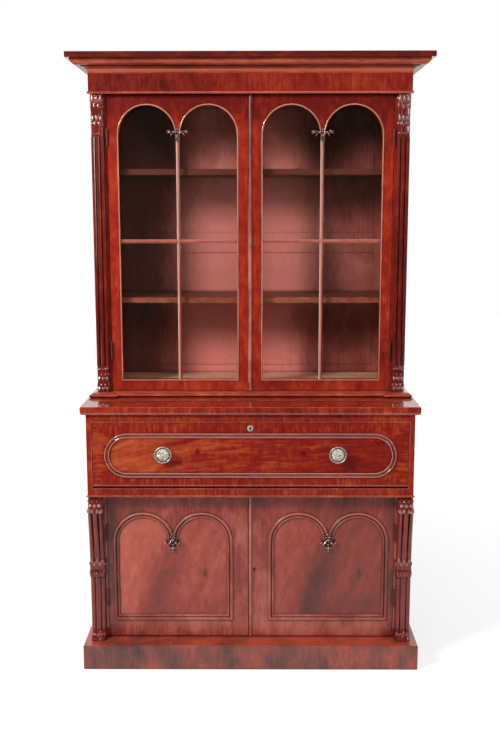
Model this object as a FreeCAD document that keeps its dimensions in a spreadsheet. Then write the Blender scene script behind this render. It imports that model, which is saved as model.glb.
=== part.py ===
"""A glazed secretaire bookcase in two stages, built from boards, mouldings and turned pieces."""
import FreeCAD, Part
import Sketcher
import math
import os

# Driving sizes, in millimetres
DIMENSIONS = {
    # Whole piece
    "overall_height": 2240.0,
    "carcass_depth": 540.0,
    # Plinth
    "plinth_overhang": 27.0,
    "plinth_height": 93.0,
    "plinth_board": 22.0,
    "plinth_edge": 3.0,
    # Lower carcass
    "lower_width": 1188.0,
    "side_board": 20.0,
    "back_board": 12.0,
    "floor_board": 20.0,
    "dustboard": 18.0,
    "lower_stile": 38.0,
    "door_setback": 84.0,
    "cupboard_bay": 259.0,
    "cupboard_shelf_board": 18.0,
    "cupboard_shelf_inset": 40.0,
    # Drawer section over the doors
    "section_bottom": 657.0,
    "section_setback": 28.0,
    "rail_depth": 22.0,
    "bottom_rail": 33.0,
    "opening_height": 244.0,
    "top_rail": 29.0,
    "cockbead_width": 4.0,
    "cockbead_reach": 1.5,
    "rail_bead_height": 7.0,
    "rail_bead_reach": 4.5,
    "runner_width": 40.0,
    # Ledge between the stages
    "ledge_overhang": 18.0,
    "ledge_board": 31.0,
    "ledge_setback": 11.0,
    "ledge_lower_round": 11.0,
    "ledge_upper_round": 3.0,
    # Consoles beside the lower doors
    "console_jamb_gap": 3.0,
    "console_side_reach": 3.0,
    # Bookcase
    "bookcase_setback": 15.0,
    "case_board": 20.0,
    "face_setback": 232.0,
    "upper_stile": 36.0,
    "floor_raise": 22.0,
    "shelf_board": 21.0,
    "shelf_inset": 37.0,
    "shelf_end_gap": 1.0,
    "lower_shelf_rise": 329.0,
    "top_shelf_drop": 243.0,
    "peg_radius": 3.5,
    "peg_length": 12.0,
    "peg_inset": 35.0,
    # Framed back of the bookcase
    "back_stile": 70.0,
    "back_muntin": 76.0,
    "back_top_rail": 80.0,
    "back_mid_rail": 76.0,
    "back_mid_rail_rise": 485.0,
    "back_bottom_rail": 31.0,
    "back_panel": 6.0,
    "back_panel_recess": 3.0,
    # Reeded columns
    "column_jamb_gap": 8.0,
    "column_reach": 18.0,
    "column_side_reed": 7.5,
    "column_middle_reed": 8.5,
    "column_reed_set": 1.0,
    "column_backing": 6.0,
    "capital_height": 151.0,
    "column_base_height": 99.0,
    # Waist moulding on the ledge
    "waist_height": 18.0,
    "waist_flat": 4.0,
    "waist_reach": 28.0,
    "waist_undercut": 6.0,
    "waist_round": 30.0,
    "waist_block_margin": 3.5,
    # Frieze and cornice
    "crown_height": 138.0,
    "frieze_overhang": 4.0,
    "frieze_board": 22.0,
    "frieze_bead_height": 9.0,
    "cornice_cove": 22.0,
    "cornice_fillet": 3.0,
    "cornice_step": 12.0,
    "cornice_round": 22.0,
    "cap_overhang": 14.0,
    "cap_board": 20.0,
    # Doors
    "door_board": 22.0,
    "door_gap": 2.0,
    "seam_offset": 8.0,
    "astragal_width": 12.0,
    "upper_door_stile": 40.5,
    "upper_door_bottom_rail": 42.0,
    "upper_arch_margin": 36.0,
    "upper_arch_lip": 3.0,
    "upper_bar_rise": 559.0,
    "bar_width": 13.0,
    "bar_depth": 9.0,
    "bar_setback": 3.0,
    "glass_board": 3.0,
    "glass_gap": 0.3,
    # Lower doors
    "lower_door_raise": 4.0,
    "lower_door_drop": 3.0,
    "arch_side_margin": 20.0,
    "arch_seam_margin": 56.0,
    "arch_bottom_margin": 62.0,
    "arch_top_margin": 71.0,
    "arch_overlap": 5.5,
    "arch_moulding": 23.0,
    "arch_rebate": 9.0,
    "arch_moulding_reach": 7.0,
    "arch_moulding_low": 4.0,
    "lower_arch_lip": 1.0,
    "arch_inner_step": 8.0,
    "tongue_drop": 30.0,
    "lower_panel": 12.0,
    "panel_recess": 3.0,
    "leaf_drop_width": 46.0,
    "leaf_drop_height": 72.0,
    "leaf_drop_reach": 12.0,
    "leaf_drop_hang": 43.0,
    # Butt hinges of the doors
    "hinge_height": 64.0,
    "hinge_leaf": 0.9,
    "hinge_leaf_depth": 18.0,
    "hinge_barrel": 4.0,
    "hinge_pin": 1.8,
    "hinge_pin_gap": 0.1,
    "hinge_joint_gap": 0.3,
    "hinge_end_margin": 120.0,
    # Secretaire drawer
    "drawer_gap": 2.5,
    "drawer_front_gap": 1.5,
    "drawer_side": 12.0,
    "drawer_top_gap": 11.0,
    "drawer_back_gap": 27.5,
    "drawer_bottom": 12.0,
    "fall_gap": 1.5,
    "fall_board": 22.0,
    # Moulding, knobs and leather of the fall
    "fall_moulding_side_margin": 45.0,
    "fall_moulding_bottom": 41.0,
    "fall_moulding_top": 39.0,
    "fall_moulding_width": 17.0,
    "fall_moulding_reach": 7.0,
    "fall_moulding_low": 4.0,
    "fall_crest_set": 4.0,
    "leather_margin": 30.0,
    "leather_sheet": 1.5,
    "knob_spacing": 630.0,
    "knob_rise": 8.5,
    "knob_radius": 31.0,
    "knob_projection": 38.0,
    "escutcheon_drop": 19.5,
    "escutcheon_radius": 11.5,
    "escutcheon_reach": 1.5,
    # Hinges and quadrant stays of the fall
    "fall_hinge_spacing": 420.0,
    "fall_hinge_width": 40.0,
    "fall_hinge_barrel": 4.5,
    "fall_hinge_clearance": 1.5,
    "fall_hinge_plate": 3.0,
    "fall_hinge_reach": 30.0,
    "fall_hinge_pin": 2.4,
    "fall_notch": 6.0,
    "fall_hinge_pin_hold": 12.0,
    "quadrant_radius": 130.0,
    "quadrant_band": 13.0,
    "quadrant_sheet": 3.0,
    "quadrant_side_gap": 2.5,
    "quadrant_slot": 8.0,
    "quadrant_slot_gap": 6.0,
    "quadrant_flange": 12.0,
    "quadrant_flange_sheet": 2.5,
    "quadrant_foot": 26.0,
    # Fitted interior
    "fitment_stay_gap": 79.5,
    "fitment_top_gap": 4.5,
    "fitment_board": 8.0,
    "fitment_side_gap": 0.5,
    "bank_width": 236.0,
    "valance_sheet": 5.0,
    "valance_height": 22.0,
    "valance_lip": 6.0,
    "valance_rise": 14.0,
    "small_drawer_gap": 1.0,
    "small_drawer_front": 10.0,
    "small_drawer_side": 6.0,
    "small_drawer_back_gap": 20.0,
    "small_drawer_bottom": 5.0,
    "small_drawer_set": 2.0,
    "small_knob_radius": 8.0,
    "small_knob_projection": 16.0,
}

# Extra travel of every cutting shape beyond what it cuts
OVERRUN = 10.0

# How close an edge must lie to a height to be picked for rounding
PICK_TOLERANCE = 0.1

# Boards side by side in the back of the lower carcass
BACK_BOARD_COUNT = 5

# Arc of each quadrant stay with the fall closed, from straight up, in degrees
QUADRANT_START_ANGLE = 6.0
QUADRANT_END_ANGLE = 92.0

# Flat sides of the rods, reeds and knobs, and corners on the crown of a carved reed
HINGE_SIDES = 12
PEG_SIDES = 8
REED_SIDES = 16
SMALL_KNOB_SIDES = 16
LARGE_KNOB_SIDES = 24
REED_CORNERS = 5


class Size:
    """A length together with the sheet expression that gives it."""

    def __init__(self, value, text):
        self.value = float(value)
        self.text = text

    def __add__(self, other):
        other = as_size(other)
        return Size(self.value + other.value, f"({self.text} + {other.text})")

    def __sub__(self, other):
        other = as_size(other)
        return Size(self.value - other.value, f"({self.text} - {other.text})")

    def __mul__(self, other):
        other = as_size(other)
        return Size(self.value * other.value, f"({self.text} * {other.text})")

    def __truediv__(self, other):
        other = as_size(other)
        return Size(self.value / other.value, f"({self.text} / {other.text})")

    def __neg__(self):
        return Size(-self.value, f"(0 - {self.text})")

    def root(self):
        return Size(math.sqrt(self.value), f"sqrt({self.text})")


def as_size(value):
    """Give a plain number the form of a size."""
    if isinstance(value, Size):
        return value
    return Size(value, repr(float(value)))


class Sheet:
    """The spreadsheet of driving sizes, read as attributes."""

    def __init__(self, doc, table):
        self.sheet = doc.addObject("Spreadsheet::Sheet", "Dimensions")
        for row, (alias, value) in enumerate(table.items(), start=1):
            self.sheet.set(f"A{row}", alias.replace("_", " "))
            self.sheet.set(f"B{row}", repr(value))
            self.sheet.setAlias(f"B{row}", alias)
        doc.recompute()
        for alias in table:
            setattr(self, alias, Size(getattr(self.sheet, alias), f"Dimensions.{alias}"))


doc = FreeCAD.newDocument("secretaire_bookcase")
d = Sheet(doc, DIMENSIONS)
ZERO = Size(0.0, "0")
NODES = []


def keep(obj, label):
    """Label an object and keep it as a node of the part."""
    obj.Label = label
    NODES.append(obj)
    return obj


def place(obj, at):
    """Bind an object's place to three sizes."""
    for axis, size in zip("xyz", at):
        obj.setExpression("Placement.Base." + axis, size.text)


def board(name, across, deep, high):
    """A board from its spans along X, Y and Z."""
    obj = doc.addObject("Part::Box", name)
    spans = (across, deep, high)
    for prop, (low, top) in zip(("Length", "Width", "Height"), spans):
        obj.setExpression(prop, (top - low).text)
    place(obj, [low for low, top in spans])
    return obj


def rod(name, direction, radius, span, centre, sides=0):
    """A rod along one axis, with its centre on the other two: round, or with a few flat sides."""
    if sides:
        obj = doc.addObject("Part::Prism", name)
        obj.Polygon = sides
        obj.setExpression("Circumradius", radius.text)
    else:
        obj = doc.addObject("Part::Cylinder", name)
        obj.setExpression("Radius", radius.text)
    obj.setExpression("Height", (span[1] - span[0]).text)
    turns = {
        "x": FreeCAD.Rotation(FreeCAD.Vector(0, 1, 0), 90),
        "y": FreeCAD.Rotation(FreeCAD.Vector(1, 0, 0), -90),
        "z": FreeCAD.Rotation(),
    }
    obj.Placement.Rotation = turns[direction]
    at = list(centre)
    at.insert("xyz".index(direction), span[0])
    place(obj, at)
    return obj


def fuse(name, pieces):
    """Several shapes joined into one solid."""
    obj = doc.addObject("Part::MultiFuse", name)
    obj.Shapes = pieces
    return obj


def cut(name, base, tool):
    """One shape less another."""
    obj = doc.addObject("Part::Cut", name)
    obj.Base = base
    obj.Tool = tool
    return obj


def group(name, pieces):
    """Separate solids that share one node."""
    obj = doc.addObject("Part::Compound", name + "_group")
    obj.Links = pieces
    return keep(obj, name)


def mirrored(name, source):
    """The right-hand copy of a left-hand piece."""
    obj = doc.addObject("Part::Mirroring", name)
    obj.Source = source
    obj.Normal = FreeCAD.Vector(1, 0, 0)
    return obj


def origin_plane(body, role):
    return next(item for item in body.Origin.OriginFeatures if item.Role == role)


def draw(sketch, outline):
    """Draw a closed outline and bind each corner and arc centre to the sheet.

    A corner is (u, v), reached by a line, or (u, v, centre_u, centre_v, turn), reached by an
    arc that turns 1 for counter-clockwise and -1 for clockwise.
    """
    first = sketch.GeometryCount
    ends = []
    for index, corner in enumerate(outline):
        before = outline[index - 1]
        start = FreeCAD.Vector(before[0].value, before[1].value, 0)
        end = FreeCAD.Vector(corner[0].value, corner[1].value, 0)
        if len(corner) == 2:
            sketch.addGeometry(Part.LineSegment(start, end), False)
            ends.append((1, 2))
            continue
        centre = FreeCAD.Vector(corner[2].value, corner[3].value, 0)
        angles = [math.atan2(point.y - centre.y, point.x - centre.x) for point in (start, end)]
        clockwise = corner[4] < 0
        if clockwise:
            angles.reverse()
        circle = Part.Circle(centre, FreeCAD.Vector(0, 0, 1), (start - centre).Length)
        sketch.addGeometry(Part.ArcOfCircle(circle, angles[0], angles[1]), False)
        ends.append((2, 1) if clockwise else (1, 2))
    for index, corner in enumerate(outline):
        after = (index + 1) % len(outline)
        edge = first + index
        link = Sketcher.Constraint("Coincident", edge, ends[index][1], first + after, ends[after][0])
        sketch.addConstraint(link)
        if len(corner) == 2:
            bind_point(sketch, edge, ends[index][1], corner[:2], "XY")
            continue
        bind_point(sketch, edge, 3, corner[2:4], "XY")
        out_u = abs(corner[0].value - corner[2].value)
        out_v = abs(corner[1].value - corner[3].value)
        bind_point(sketch, edge, ends[index][1], corner[:2], "Y" if out_u > out_v else "X")


def bind_point(sketch, geometry, position, point, axes):
    """Fix a sketch point at two sizes from the origin."""
    for axis, size in zip("XY", point):
        if axis not in axes:
            continue
        rule = Sketcher.Constraint("Distance" + axis, -1, 1, geometry, position, size.value)
        number = sketch.addConstraint(rule)
        if size.text != ZERO.text:
            sketch.setExpression(f"Constraints[{number}]", size.text)


def sketched(body, name, plane, outlines):
    """A sketch of closed outlines on one of a body's origin planes."""
    sketch = body.newObject("Sketcher::SketchObject", name + "_outline")
    sketch.AttachmentSupport = [(origin_plane(body, plane), "")]
    sketch.MapMode = "FlatFace"
    for outline in outlines:
        draw(sketch, outline)
    return sketch


def add_pad(body, name, plane, outlines, thickness, start=ZERO):
    """Add material to a body from a start before its plane: a second outline is the hole of a ring."""
    sketch = sketched(body, name, plane, outlines)
    sketch.setExpression("AttachmentOffset.Base.z", start.text)
    pad = body.newObject("PartDesign::Pad", name + "_pad")
    pad.Profile = sketch
    pad.setExpression("Length", thickness.text)
    return pad


def padded(name, plane, outlines, thickness, at):
    """A piece padded from its outlines. XZ outlines pad towards the front."""
    body = doc.addObject("PartDesign::Body", name)
    add_pad(body, name, plane, outlines, thickness)
    place(body, at)
    return body


def rounded(body, name, picks, radius):
    """Round the edges of a body whose middle points are picked."""
    doc.recompute()
    base = body.Tip
    names = []
    for number, edge in enumerate(base.Shape.Edges, start=1):
        if picks(edge.valueAt((edge.FirstParameter + edge.LastParameter) / 2)):
            names.append(f"Edge{number}")
    fillet = body.newObject("PartDesign::Fillet", name)
    fillet.Base = (base, names)
    fillet.setExpression("Radius", radius.text)
    return fillet


def outline_face(outline):
    """A flat face in the XZ plane from an outline like those of the sketches."""
    edges = []
    for index, corner in enumerate(outline):
        before = outline[index - 1]
        start = FreeCAD.Vector(before[0].value, 0, before[1].value)
        end = FreeCAD.Vector(corner[0].value, 0, corner[1].value)
        if len(corner) == 2:
            edges.append(Part.LineSegment(start, end).toShape())
            continue
        centre = FreeCAD.Vector(corner[2].value, 0, corner[3].value)
        first = math.atan2(start.z - centre.z, start.x - centre.x)
        last = math.atan2(end.z - centre.z, end.x - centre.x)
        if corner[4] > 0 and last < first:
            last += 2 * math.pi
        if corner[4] < 0 and last > first:
            last -= 2 * math.pi
        middle = (first + last) / 2
        radius = (start - centre).Length
        crown = centre + FreeCAD.Vector(math.cos(middle), 0, math.sin(middle)) * radius
        edges.append(Part.Arc(start, crown, end).toShape())
    return Part.Face(Part.Wire(edges))


def ring_solid(name, rings, at):
    """A solid with flat faces through closed rings of corners, each ring after the one before."""
    faces = [Part.Face(Part.makePolygon(ring + ring[:1])) for ring in (rings[0], rings[-1])]
    for near, far in zip(rings, rings[1:]):
        for number in range(len(near)):
            first, second = near[number - 1], near[number]
            third, fourth = far[number], far[number - 1]
            faces.append(Part.Face(Part.makePolygon([first, second, third, first])))
            faces.append(Part.Face(Part.makePolygon([first, third, fourth, first])))
    shell = Part.makeShell(faces)
    shell.sewShape()
    solid = Part.makeSolid(shell)
    if solid.Volume < 0:
        solid.reverse()
    obj = doc.addObject("Part::Feature", name)
    obj.Shape = solid
    obj.Placement.Base = FreeCAD.Vector(*(size.value for size in at))
    return obj


def mitred_run(name, profile, path, base, reach):
    """Lengths of one moulding round a plan path, mitred at each corner.

    The profile is drawn outwards from the path and upwards from the base. The path runs
    with the outside on its right hand.
    """
    points = [FreeCAD.Vector(x.value, y.value, 0) for x, y in path]
    steps = [points[i + 1] - points[i] for i in range(len(points) - 1)]
    outs = [FreeCAD.Vector(step.y, -step.x, 0).normalize() for step in steps]
    corners = [outs[0]]
    for before, after in zip(outs, outs[1:]):
        corners.append((before + after) * (1 / (1 + before.dot(after))))
    corners.append(outs[-1])
    face = outline_face(profile)
    inner = face.BoundBox.XMin - OVERRUN
    outer = reach.value + OVERRUN
    pieces = []
    for number, (start, step, out) in enumerate(zip(points, steps, outs)):
        forward = FreeCAD.Vector(step).normalize()
        extra = forward * outer
        turn = FreeCAD.Rotation(out, forward, FreeCAD.Vector(0, 0, 1), "ZXY")
        section = face.copy()
        section.Placement = FreeCAD.Placement(start - extra, turn)
        length = section.extrude(step + extra * 2)
        plan = [
            start + corners[number] * inner,
            start + corners[number] * outer,
            start + step + corners[number + 1] * outer,
            start + step + corners[number + 1] * inner,
        ]
        low = FreeCAD.Vector(0, 0, face.BoundBox.ZMin - OVERRUN)
        ring = [point + low for point in plan]
        tall = FreeCAD.Vector(0, 0, face.BoundBox.ZLength + OVERRUN * 2)
        wedge = Part.Face(Part.makePolygon(ring + ring[:1])).extrude(tall)
        pieces.append(length.common(wedge).Solids[0])
    obj = doc.addObject("Part::Feature", name)
    obj.Shape = Part.Compound(pieces)
    obj.Placement = FreeCAD.Placement(FreeCAD.Vector(0, 0, base.value), FreeCAD.Rotation())
    return obj


# Shared planes and heights, worked out from the driving sizes
knob_overhang = d.knob_projection - d.section_setback
back = (d.carcass_depth + knob_overhang) / 2
plinth_front = back - d.carcass_depth
lower_face = plinth_front + d.door_setback
section_face = plinth_front + d.section_setback
upper_face = plinth_front + d.face_setback
column_face = upper_face - d.column_reach
frieze_face = upper_face - d.frieze_board

opening_bottom = d.section_bottom + d.bottom_rail
opening_top = opening_bottom + d.opening_height
ledge_bottom = opening_top + d.top_rail
ledge_top = ledge_bottom + d.ledge_board
case_floor_bottom = ledge_top + d.floor_raise
case_floor_top = case_floor_bottom + d.case_board
crown_bottom = d.overall_height - d.crown_height
ceiling_bottom = crown_bottom - d.case_board
cap_bottom = d.overall_height - d.cap_board
cornice_height = d.cornice_cove + d.cornice_fillet + d.cornice_round
cornice_bottom = cap_bottom - cornice_height

lower_half = d.lower_width / 2
plinth_half = lower_half + d.plinth_overhang
lower_inner = lower_half - d.side_board
lower_jamb = lower_inner - d.lower_stile
case_half = lower_half - d.bookcase_setback
case_inner = case_half - d.case_board
upper_jamb = case_inner - d.upper_stile
frieze_half = case_half + d.frieze_overhang
ledge_half = lower_half + d.ledge_overhang
back_face = back - d.back_board

seam_low = -d.seam_offset - d.door_gap / 2
seam_high = -d.seam_offset + d.door_gap / 2


def both_sides(half):
    """The span between the same place on the left and on the right."""
    return (-half, half)


def three_sides(half, front):
    """A plan path along the left side, the front and the right side."""
    return [(-half, back), (-half, front), (half, front), (half, back)]


# Plinth: a mitred frame with a back rail and a top board let in between
plinth_profile = [
    (-d.plinth_board, ZERO),
    (ZERO, ZERO),
    (ZERO, d.plinth_height - d.plinth_edge),
    (-d.plinth_edge, d.plinth_height, -d.plinth_edge, d.plinth_height - d.plinth_edge, 1),
    (-d.plinth_board, d.plinth_height),
]
plinth_inner = plinth_half - d.plinth_board
plinth_frame = mitred_run(
    "plinth_frame", plinth_profile, three_sides(plinth_half, plinth_front), ZERO, ZERO
)
plinth_rail = board(
    "plinth_rail",
    both_sides(plinth_inner),
    (back - d.plinth_board, back),
    (ZERO, d.plinth_height),
)
plinth_top = board(
    "plinth_top",
    both_sides(plinth_inner),
    (plinth_front + d.plinth_board, back - d.plinth_board),
    (d.plinth_height - d.floor_board, d.plinth_height),
)
group("plinth", [plinth_frame, plinth_rail, plinth_top])

# Lower carcass
side_outline = [
    (lower_face, d.plinth_height),
    (back, d.plinth_height),
    (back, ledge_bottom),
    (section_face, ledge_bottom),
    (section_face, d.section_bottom),
    (lower_face, d.section_bottom),
]
for side, left in (("left", -lower_half), ("right", lower_inner)):
    name = f"lower_{side}_side"
    keep(padded(name + "_board", "YZ_Plane", [side_outline], d.side_board, (left, ZERO, ZERO)), name)

keep(
    board(
        "cupboard_floor_board",
        both_sides(lower_inner),
        (lower_face + d.door_board, back_face),
        (d.plinth_height, d.plinth_height + d.floor_board),
    ),
    "cupboard_floor",
)
dustboard_top = d.section_bottom + d.dustboard
cupboard_shelf_bottom = d.plinth_height + d.floor_board + d.cupboard_bay
keep(
    board(
        "dustboard_panel",
        both_sides(lower_inner),
        (section_face + d.rail_depth, back_face),
        (d.section_bottom, dustboard_top),
    ),
    "dustboard",
)
keep(
    board(
        "cupboard_shelf_board",
        both_sides(lower_inner),
        (lower_face + d.door_board + d.cupboard_shelf_inset, back_face),
        (cupboard_shelf_bottom, cupboard_shelf_bottom + d.cupboard_shelf_board),
    ),
    "cupboard_shelf",
)

boards = []
back_board_width = (d.lower_width - d.side_board * 2) / BACK_BOARD_COUNT
back_high = (d.plinth_height, ledge_bottom)
for number in range(BACK_BOARD_COUNT):
    low = -lower_inner + back_board_width * number
    across = (low, low + back_board_width)
    boards.append(board(f"back_board_{number + 1}", across, (back_face, back), back_high))
group("lower_back_boards", boards)

stiles = []
for label, inner, outer, face, low, high in (
    ("lower", lower_jamb, lower_inner, lower_face, d.plinth_height, d.section_bottom),
    ("upper", upper_jamb, case_inner, upper_face, ledge_top, crown_bottom),
):
    deep = (face, face + d.door_board)
    stiles.append(board(f"{label}_left_stile", (-outer, -inner), deep, (low, high)))
    stiles.append(board(f"{label}_right_stile", (inner, outer), deep, (low, high)))
group("face_stiles", stiles)

# Drawer section: rails, runners and the cockbead round the opening
rail_span = (section_face, section_face + d.rail_depth)
group(
    "drawer_rails",
    [
        board("bottom_rail", both_sides(lower_inner), rail_span, (d.section_bottom, opening_bottom)),
        board("top_rail", both_sides(lower_inner), rail_span, (opening_top, ledge_bottom)),
    ],
)
runner_span = (section_face + d.rail_depth, back_face)
runner_height = (dustboard_top, opening_bottom)
group(
    "drawer_runners",
    [
        board("left_runner", (-lower_inner, -lower_inner + d.runner_width), runner_span, runner_height),
        board("right_runner", (lower_inner - d.runner_width, lower_inner), runner_span, runner_height),
    ],
)
bead_outer = lower_inner + d.cockbead_width
bead_low = opening_bottom - d.cockbead_width
bead_high = opening_top + d.cockbead_width


def upright_box(half, low, high):
    """A rectangle in the XZ plane, centred from left to right."""
    return [(-half, low), (half, low), (half, high), (-half, high)]


cockbead = padded(
    "cockbead_ring",
    "XZ_Plane",
    [
        upright_box(bead_outer, bead_low, bead_high),
        upright_box(lower_inner, opening_bottom, opening_top),
    ],
    d.cockbead_reach,
    (ZERO, section_face, ZERO),
)
rail_bead_profile = [
    (ZERO, ZERO),
    (d.rail_bead_reach, ZERO),
    (d.rail_bead_reach, d.rail_bead_height / 2),
    (ZERO, d.rail_bead_height),
]
rail_bead = mitred_run(
    "rail_bead_run",
    rail_bead_profile,
    three_sides(lower_half, section_face),
    d.section_bottom,
    d.rail_bead_reach,
)
group("drawer_section_beads", [cockbead, rail_bead])

# Ledge between the two stages
ledge_outline = [
    (-ledge_half, plinth_front + d.ledge_setback),
    (ledge_half, plinth_front + d.ledge_setback),
    (ledge_half, back),
    (-ledge_half, back),
]
ledge = padded("ledge_board", "XY_Plane", [ledge_outline], d.ledge_board, (ZERO, ZERO, ledge_bottom))


def outside_edge(height):
    """Pick the edges of the ledge at one height, except the one at the back."""
    def picked(point):
        return abs(point.z - height) < PICK_TOLERANCE and point.y < back.value - PICK_TOLERANCE

    return picked


rounded(ledge, "ledge_lower_edge", outside_edge(0.0), d.ledge_lower_round)
rounded(ledge, "ledge_upper_edge", outside_edge(d.ledge_board.value), d.ledge_upper_round)
keep(ledge, "ledge")


# Three-reeded sections, lofted into consoles, capitals and column bases
REED_EDGE_SHARE = 0.36
VALLEY_DROP_SHARE = 0.26
SIDE_CROWN_DROP_SHARE = 0.12
SIDE_START_DROP_SHARE = 0.40


def reeded_section(half, reach, height):
    """Three reeds side by side in front of a flat back, seen from above."""
    edge = half * REED_EDGE_SHARE
    side = (half + edge) / 2
    start = half * SIDE_START_DROP_SHARE - reach
    side_crown = half * SIDE_CROWN_DROP_SHARE - reach
    valley = half * VALLEY_DROP_SHARE - reach
    plan = [
        (-half, 0),
        (-half, start),
        (-side, side_crown),
        (-edge, valley),
        (0, -reach),
        (edge, valley),
        (side, side_crown),
        (half, start),
        (half, 0),
    ]
    points = [FreeCAD.Vector(x, y, height) for x, y in plan]
    corners = points[:2]
    for first in (1, 3, 5):
        crown = Part.Arc(*points[first : first + 3]).toShape()
        corners += crown.discretize(Number=REED_CORNERS)[1:]
    return corners + points[8:]


def reeded_loft(name, width, reach, low, high, shares, at):
    """Reeded sections up a piece, from rows of height, width and reach shares."""
    height = high.value - low.value
    sections = []
    for height_share, width_share, reach_share in shares:
        half = width.value / 2 * width_share
        sections.append(reeded_section(half, reach.value * reach_share, height * height_share))
    return ring_solid(name, sections, (at[0], at[1], low))


# Consoles: spreading foot, lower shaft, carved collar, S-shaped upper shaft and leaf
CONSOLE_SHARES = [
    (0.00, 0.97, 0.86),
    (0.04, 0.91, 0.64),
    (0.12, 0.84, 0.42),
    (0.425, 0.86, 0.38),
    (0.435, 1.00, 0.50),
    (0.475, 1.00, 0.52),
    (0.485, 0.94, 0.48),
    (0.545, 1.00, 0.52),
    (0.56, 0.90, 0.46),
    (0.68, 0.92, 0.64),
    (0.84, 0.98, 0.95),
    (0.90, 1.00, 1.00),
    (0.925, 0.94, 0.94),
    (1.00, 0.94, 0.94),
]
console_width = d.side_board + d.lower_stile + d.console_side_reach - d.console_jamb_gap
console_centre = lower_half + d.console_side_reach - console_width / 2
left_console = reeded_loft(
    "left_console_loft",
    console_width,
    lower_face - section_face,
    d.plinth_height,
    d.section_bottom,
    CONSOLE_SHARES,
    (-console_centre, lower_face),
)
group("consoles", [left_console, mirrored("right_console_loft", left_console)])

# Upper carcass
case_inner_face = upper_face + d.door_board
group(
    "bookcase_floor",
    [
        board(
            "case_floor_board",
            both_sides(case_inner),
            (case_inner_face, back_face),
            (case_floor_bottom, case_floor_top),
        ),
        board(
            "case_base_rail",
            both_sides(upper_jamb),
            (upper_face, case_inner_face),
            (ledge_top, ledge_top + d.waist_height),
        ),
        board(
            "case_bearer",
            both_sides(case_inner),
            (case_inner_face, case_inner_face + d.door_board),
            (ledge_top, case_floor_bottom),
        ),
    ],
)
for side, low, high in (("left", -case_half, -case_inner), ("right", case_inner, case_half)):
    case_side = board(f"case_{side}_board", (low, high), (upper_face, back), (ledge_top, crown_bottom))
    keep(case_side, f"bookcase_{side}_side")
keep(
    board(
        "ceiling_board",
        both_sides(case_inner),
        (case_inner_face, back_face),
        (ceiling_bottom, crown_bottom),
    ),
    "bookcase_ceiling",
)

# Framed and panelled back of the bookcase
muntin_half = d.back_muntin / 2
stile_edge = case_inner - d.back_stile
mid_rail_bottom = case_floor_top + d.back_mid_rail_rise
mid_rail_top = mid_rail_bottom + d.back_mid_rail
bottom_rail_top = case_floor_top + d.back_bottom_rail
top_rail_bottom = ceiling_bottom - d.back_top_rail
frame_deep = (back_face, back)
frame_high = (ledge_top, crown_bottom)
frame_pieces = [
    board("back_left_stile", (-case_inner, -stile_edge), frame_deep, frame_high),
    board("back_right_stile", (stile_edge, case_inner), frame_deep, frame_high),
    board("back_muntin_board", both_sides(muntin_half), frame_deep, frame_high),
]
panel_pieces = []
panel_deep = (back_face + d.back_panel_recess, back_face + d.back_panel_recess + d.back_panel)
for side, low, high in (("left", -stile_edge, -muntin_half), ("right", muntin_half, stile_edge)):
    for place_name, bottom, top in (
        ("top", top_rail_bottom, crown_bottom),
        ("mid", mid_rail_bottom, mid_rail_top),
        ("bottom", ledge_top, bottom_rail_top),
    ):
        frame_pieces.append(board(f"back_{place_name}_{side}_rail", (low, high), frame_deep, (bottom, top)))
    for place_name, bottom, top in (
        ("upper", mid_rail_top, top_rail_bottom),
        ("lower", bottom_rail_top, mid_rail_bottom),
    ):
        panel_pieces.append(board(f"back_{place_name}_{side}_panel", (low, high), panel_deep, (bottom, top)))
group("bookcase_back_frame", frame_pieces)
group("bookcase_back_panels", panel_pieces)

# Adjustable shelves on brass pegs
shelf_half = case_inner - d.shelf_end_gap
shelf_deep = (upper_face + d.shelf_inset, back_face)
pegs = []
shelves = []
lower_shelf_top = case_floor_top + d.lower_shelf_rise
top_shelf_top = ceiling_bottom - d.top_shelf_drop
for label, top in (("lower", lower_shelf_top), ("top", top_shelf_top)):
    bottom = top - d.shelf_board
    shelves.append(board(f"{label}_shelf_board", both_sides(shelf_half), shelf_deep, (bottom, top)))
    for place_name, depth in (
        ("front", shelf_deep[0] + d.peg_inset),
        ("back", shelf_deep[1] - d.peg_inset),
    ):
        centre = (depth, bottom - d.peg_radius)
        left_span = (-case_inner, -case_inner + d.peg_length)
        right_span = (case_inner - d.peg_length, case_inner)
        for side, across in (("left", left_span), ("right", right_span)):
            name = f"{label}_{place_name}_{side}_peg"
            pegs.append(rod(name, "x", d.peg_radius, across, centre, PEG_SIDES))
group("bookcase_shelves", shelves)
group("shelf_pegs", pegs)

# Reeded columns with carved capitals and bases
column_width = d.case_board + d.upper_stile - d.column_jamb_gap
column_centre = case_half - column_width / 2
shaft_low = ledge_top + d.waist_height + d.column_base_height
shaft_high = crown_bottom - d.capital_height
side_reed_offset = column_width / 2 - d.column_side_reed


def column_shaft(side, centre):
    """Three reeds on a flat backing strip."""
    span = (shaft_low, shaft_high)
    side_line = upper_face - d.column_reed_set - d.column_side_reed
    middle_line = column_face + d.column_middle_reed
    outer, inner = centre - side_reed_offset, centre + side_reed_offset
    pieces = [
        rod(f"{side}_outer_reed", "z", d.column_side_reed, span, (outer, side_line), REED_SIDES),
        rod(f"{side}_inner_reed", "z", d.column_side_reed, span, (inner, side_line), REED_SIDES),
        rod(f"{side}_middle_reed", "z", d.column_middle_reed, span, (centre, middle_line), REED_SIDES),
        board(
            f"{side}_reed_backing",
            (outer, inner),
            (upper_face - d.column_backing, upper_face),
            span,
        ),
    ]
    return fuse(f"{side}_shaft", pieces)


group("reeded_columns", [column_shaft("left", -column_centre), column_shaft("right", column_centre)])

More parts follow.
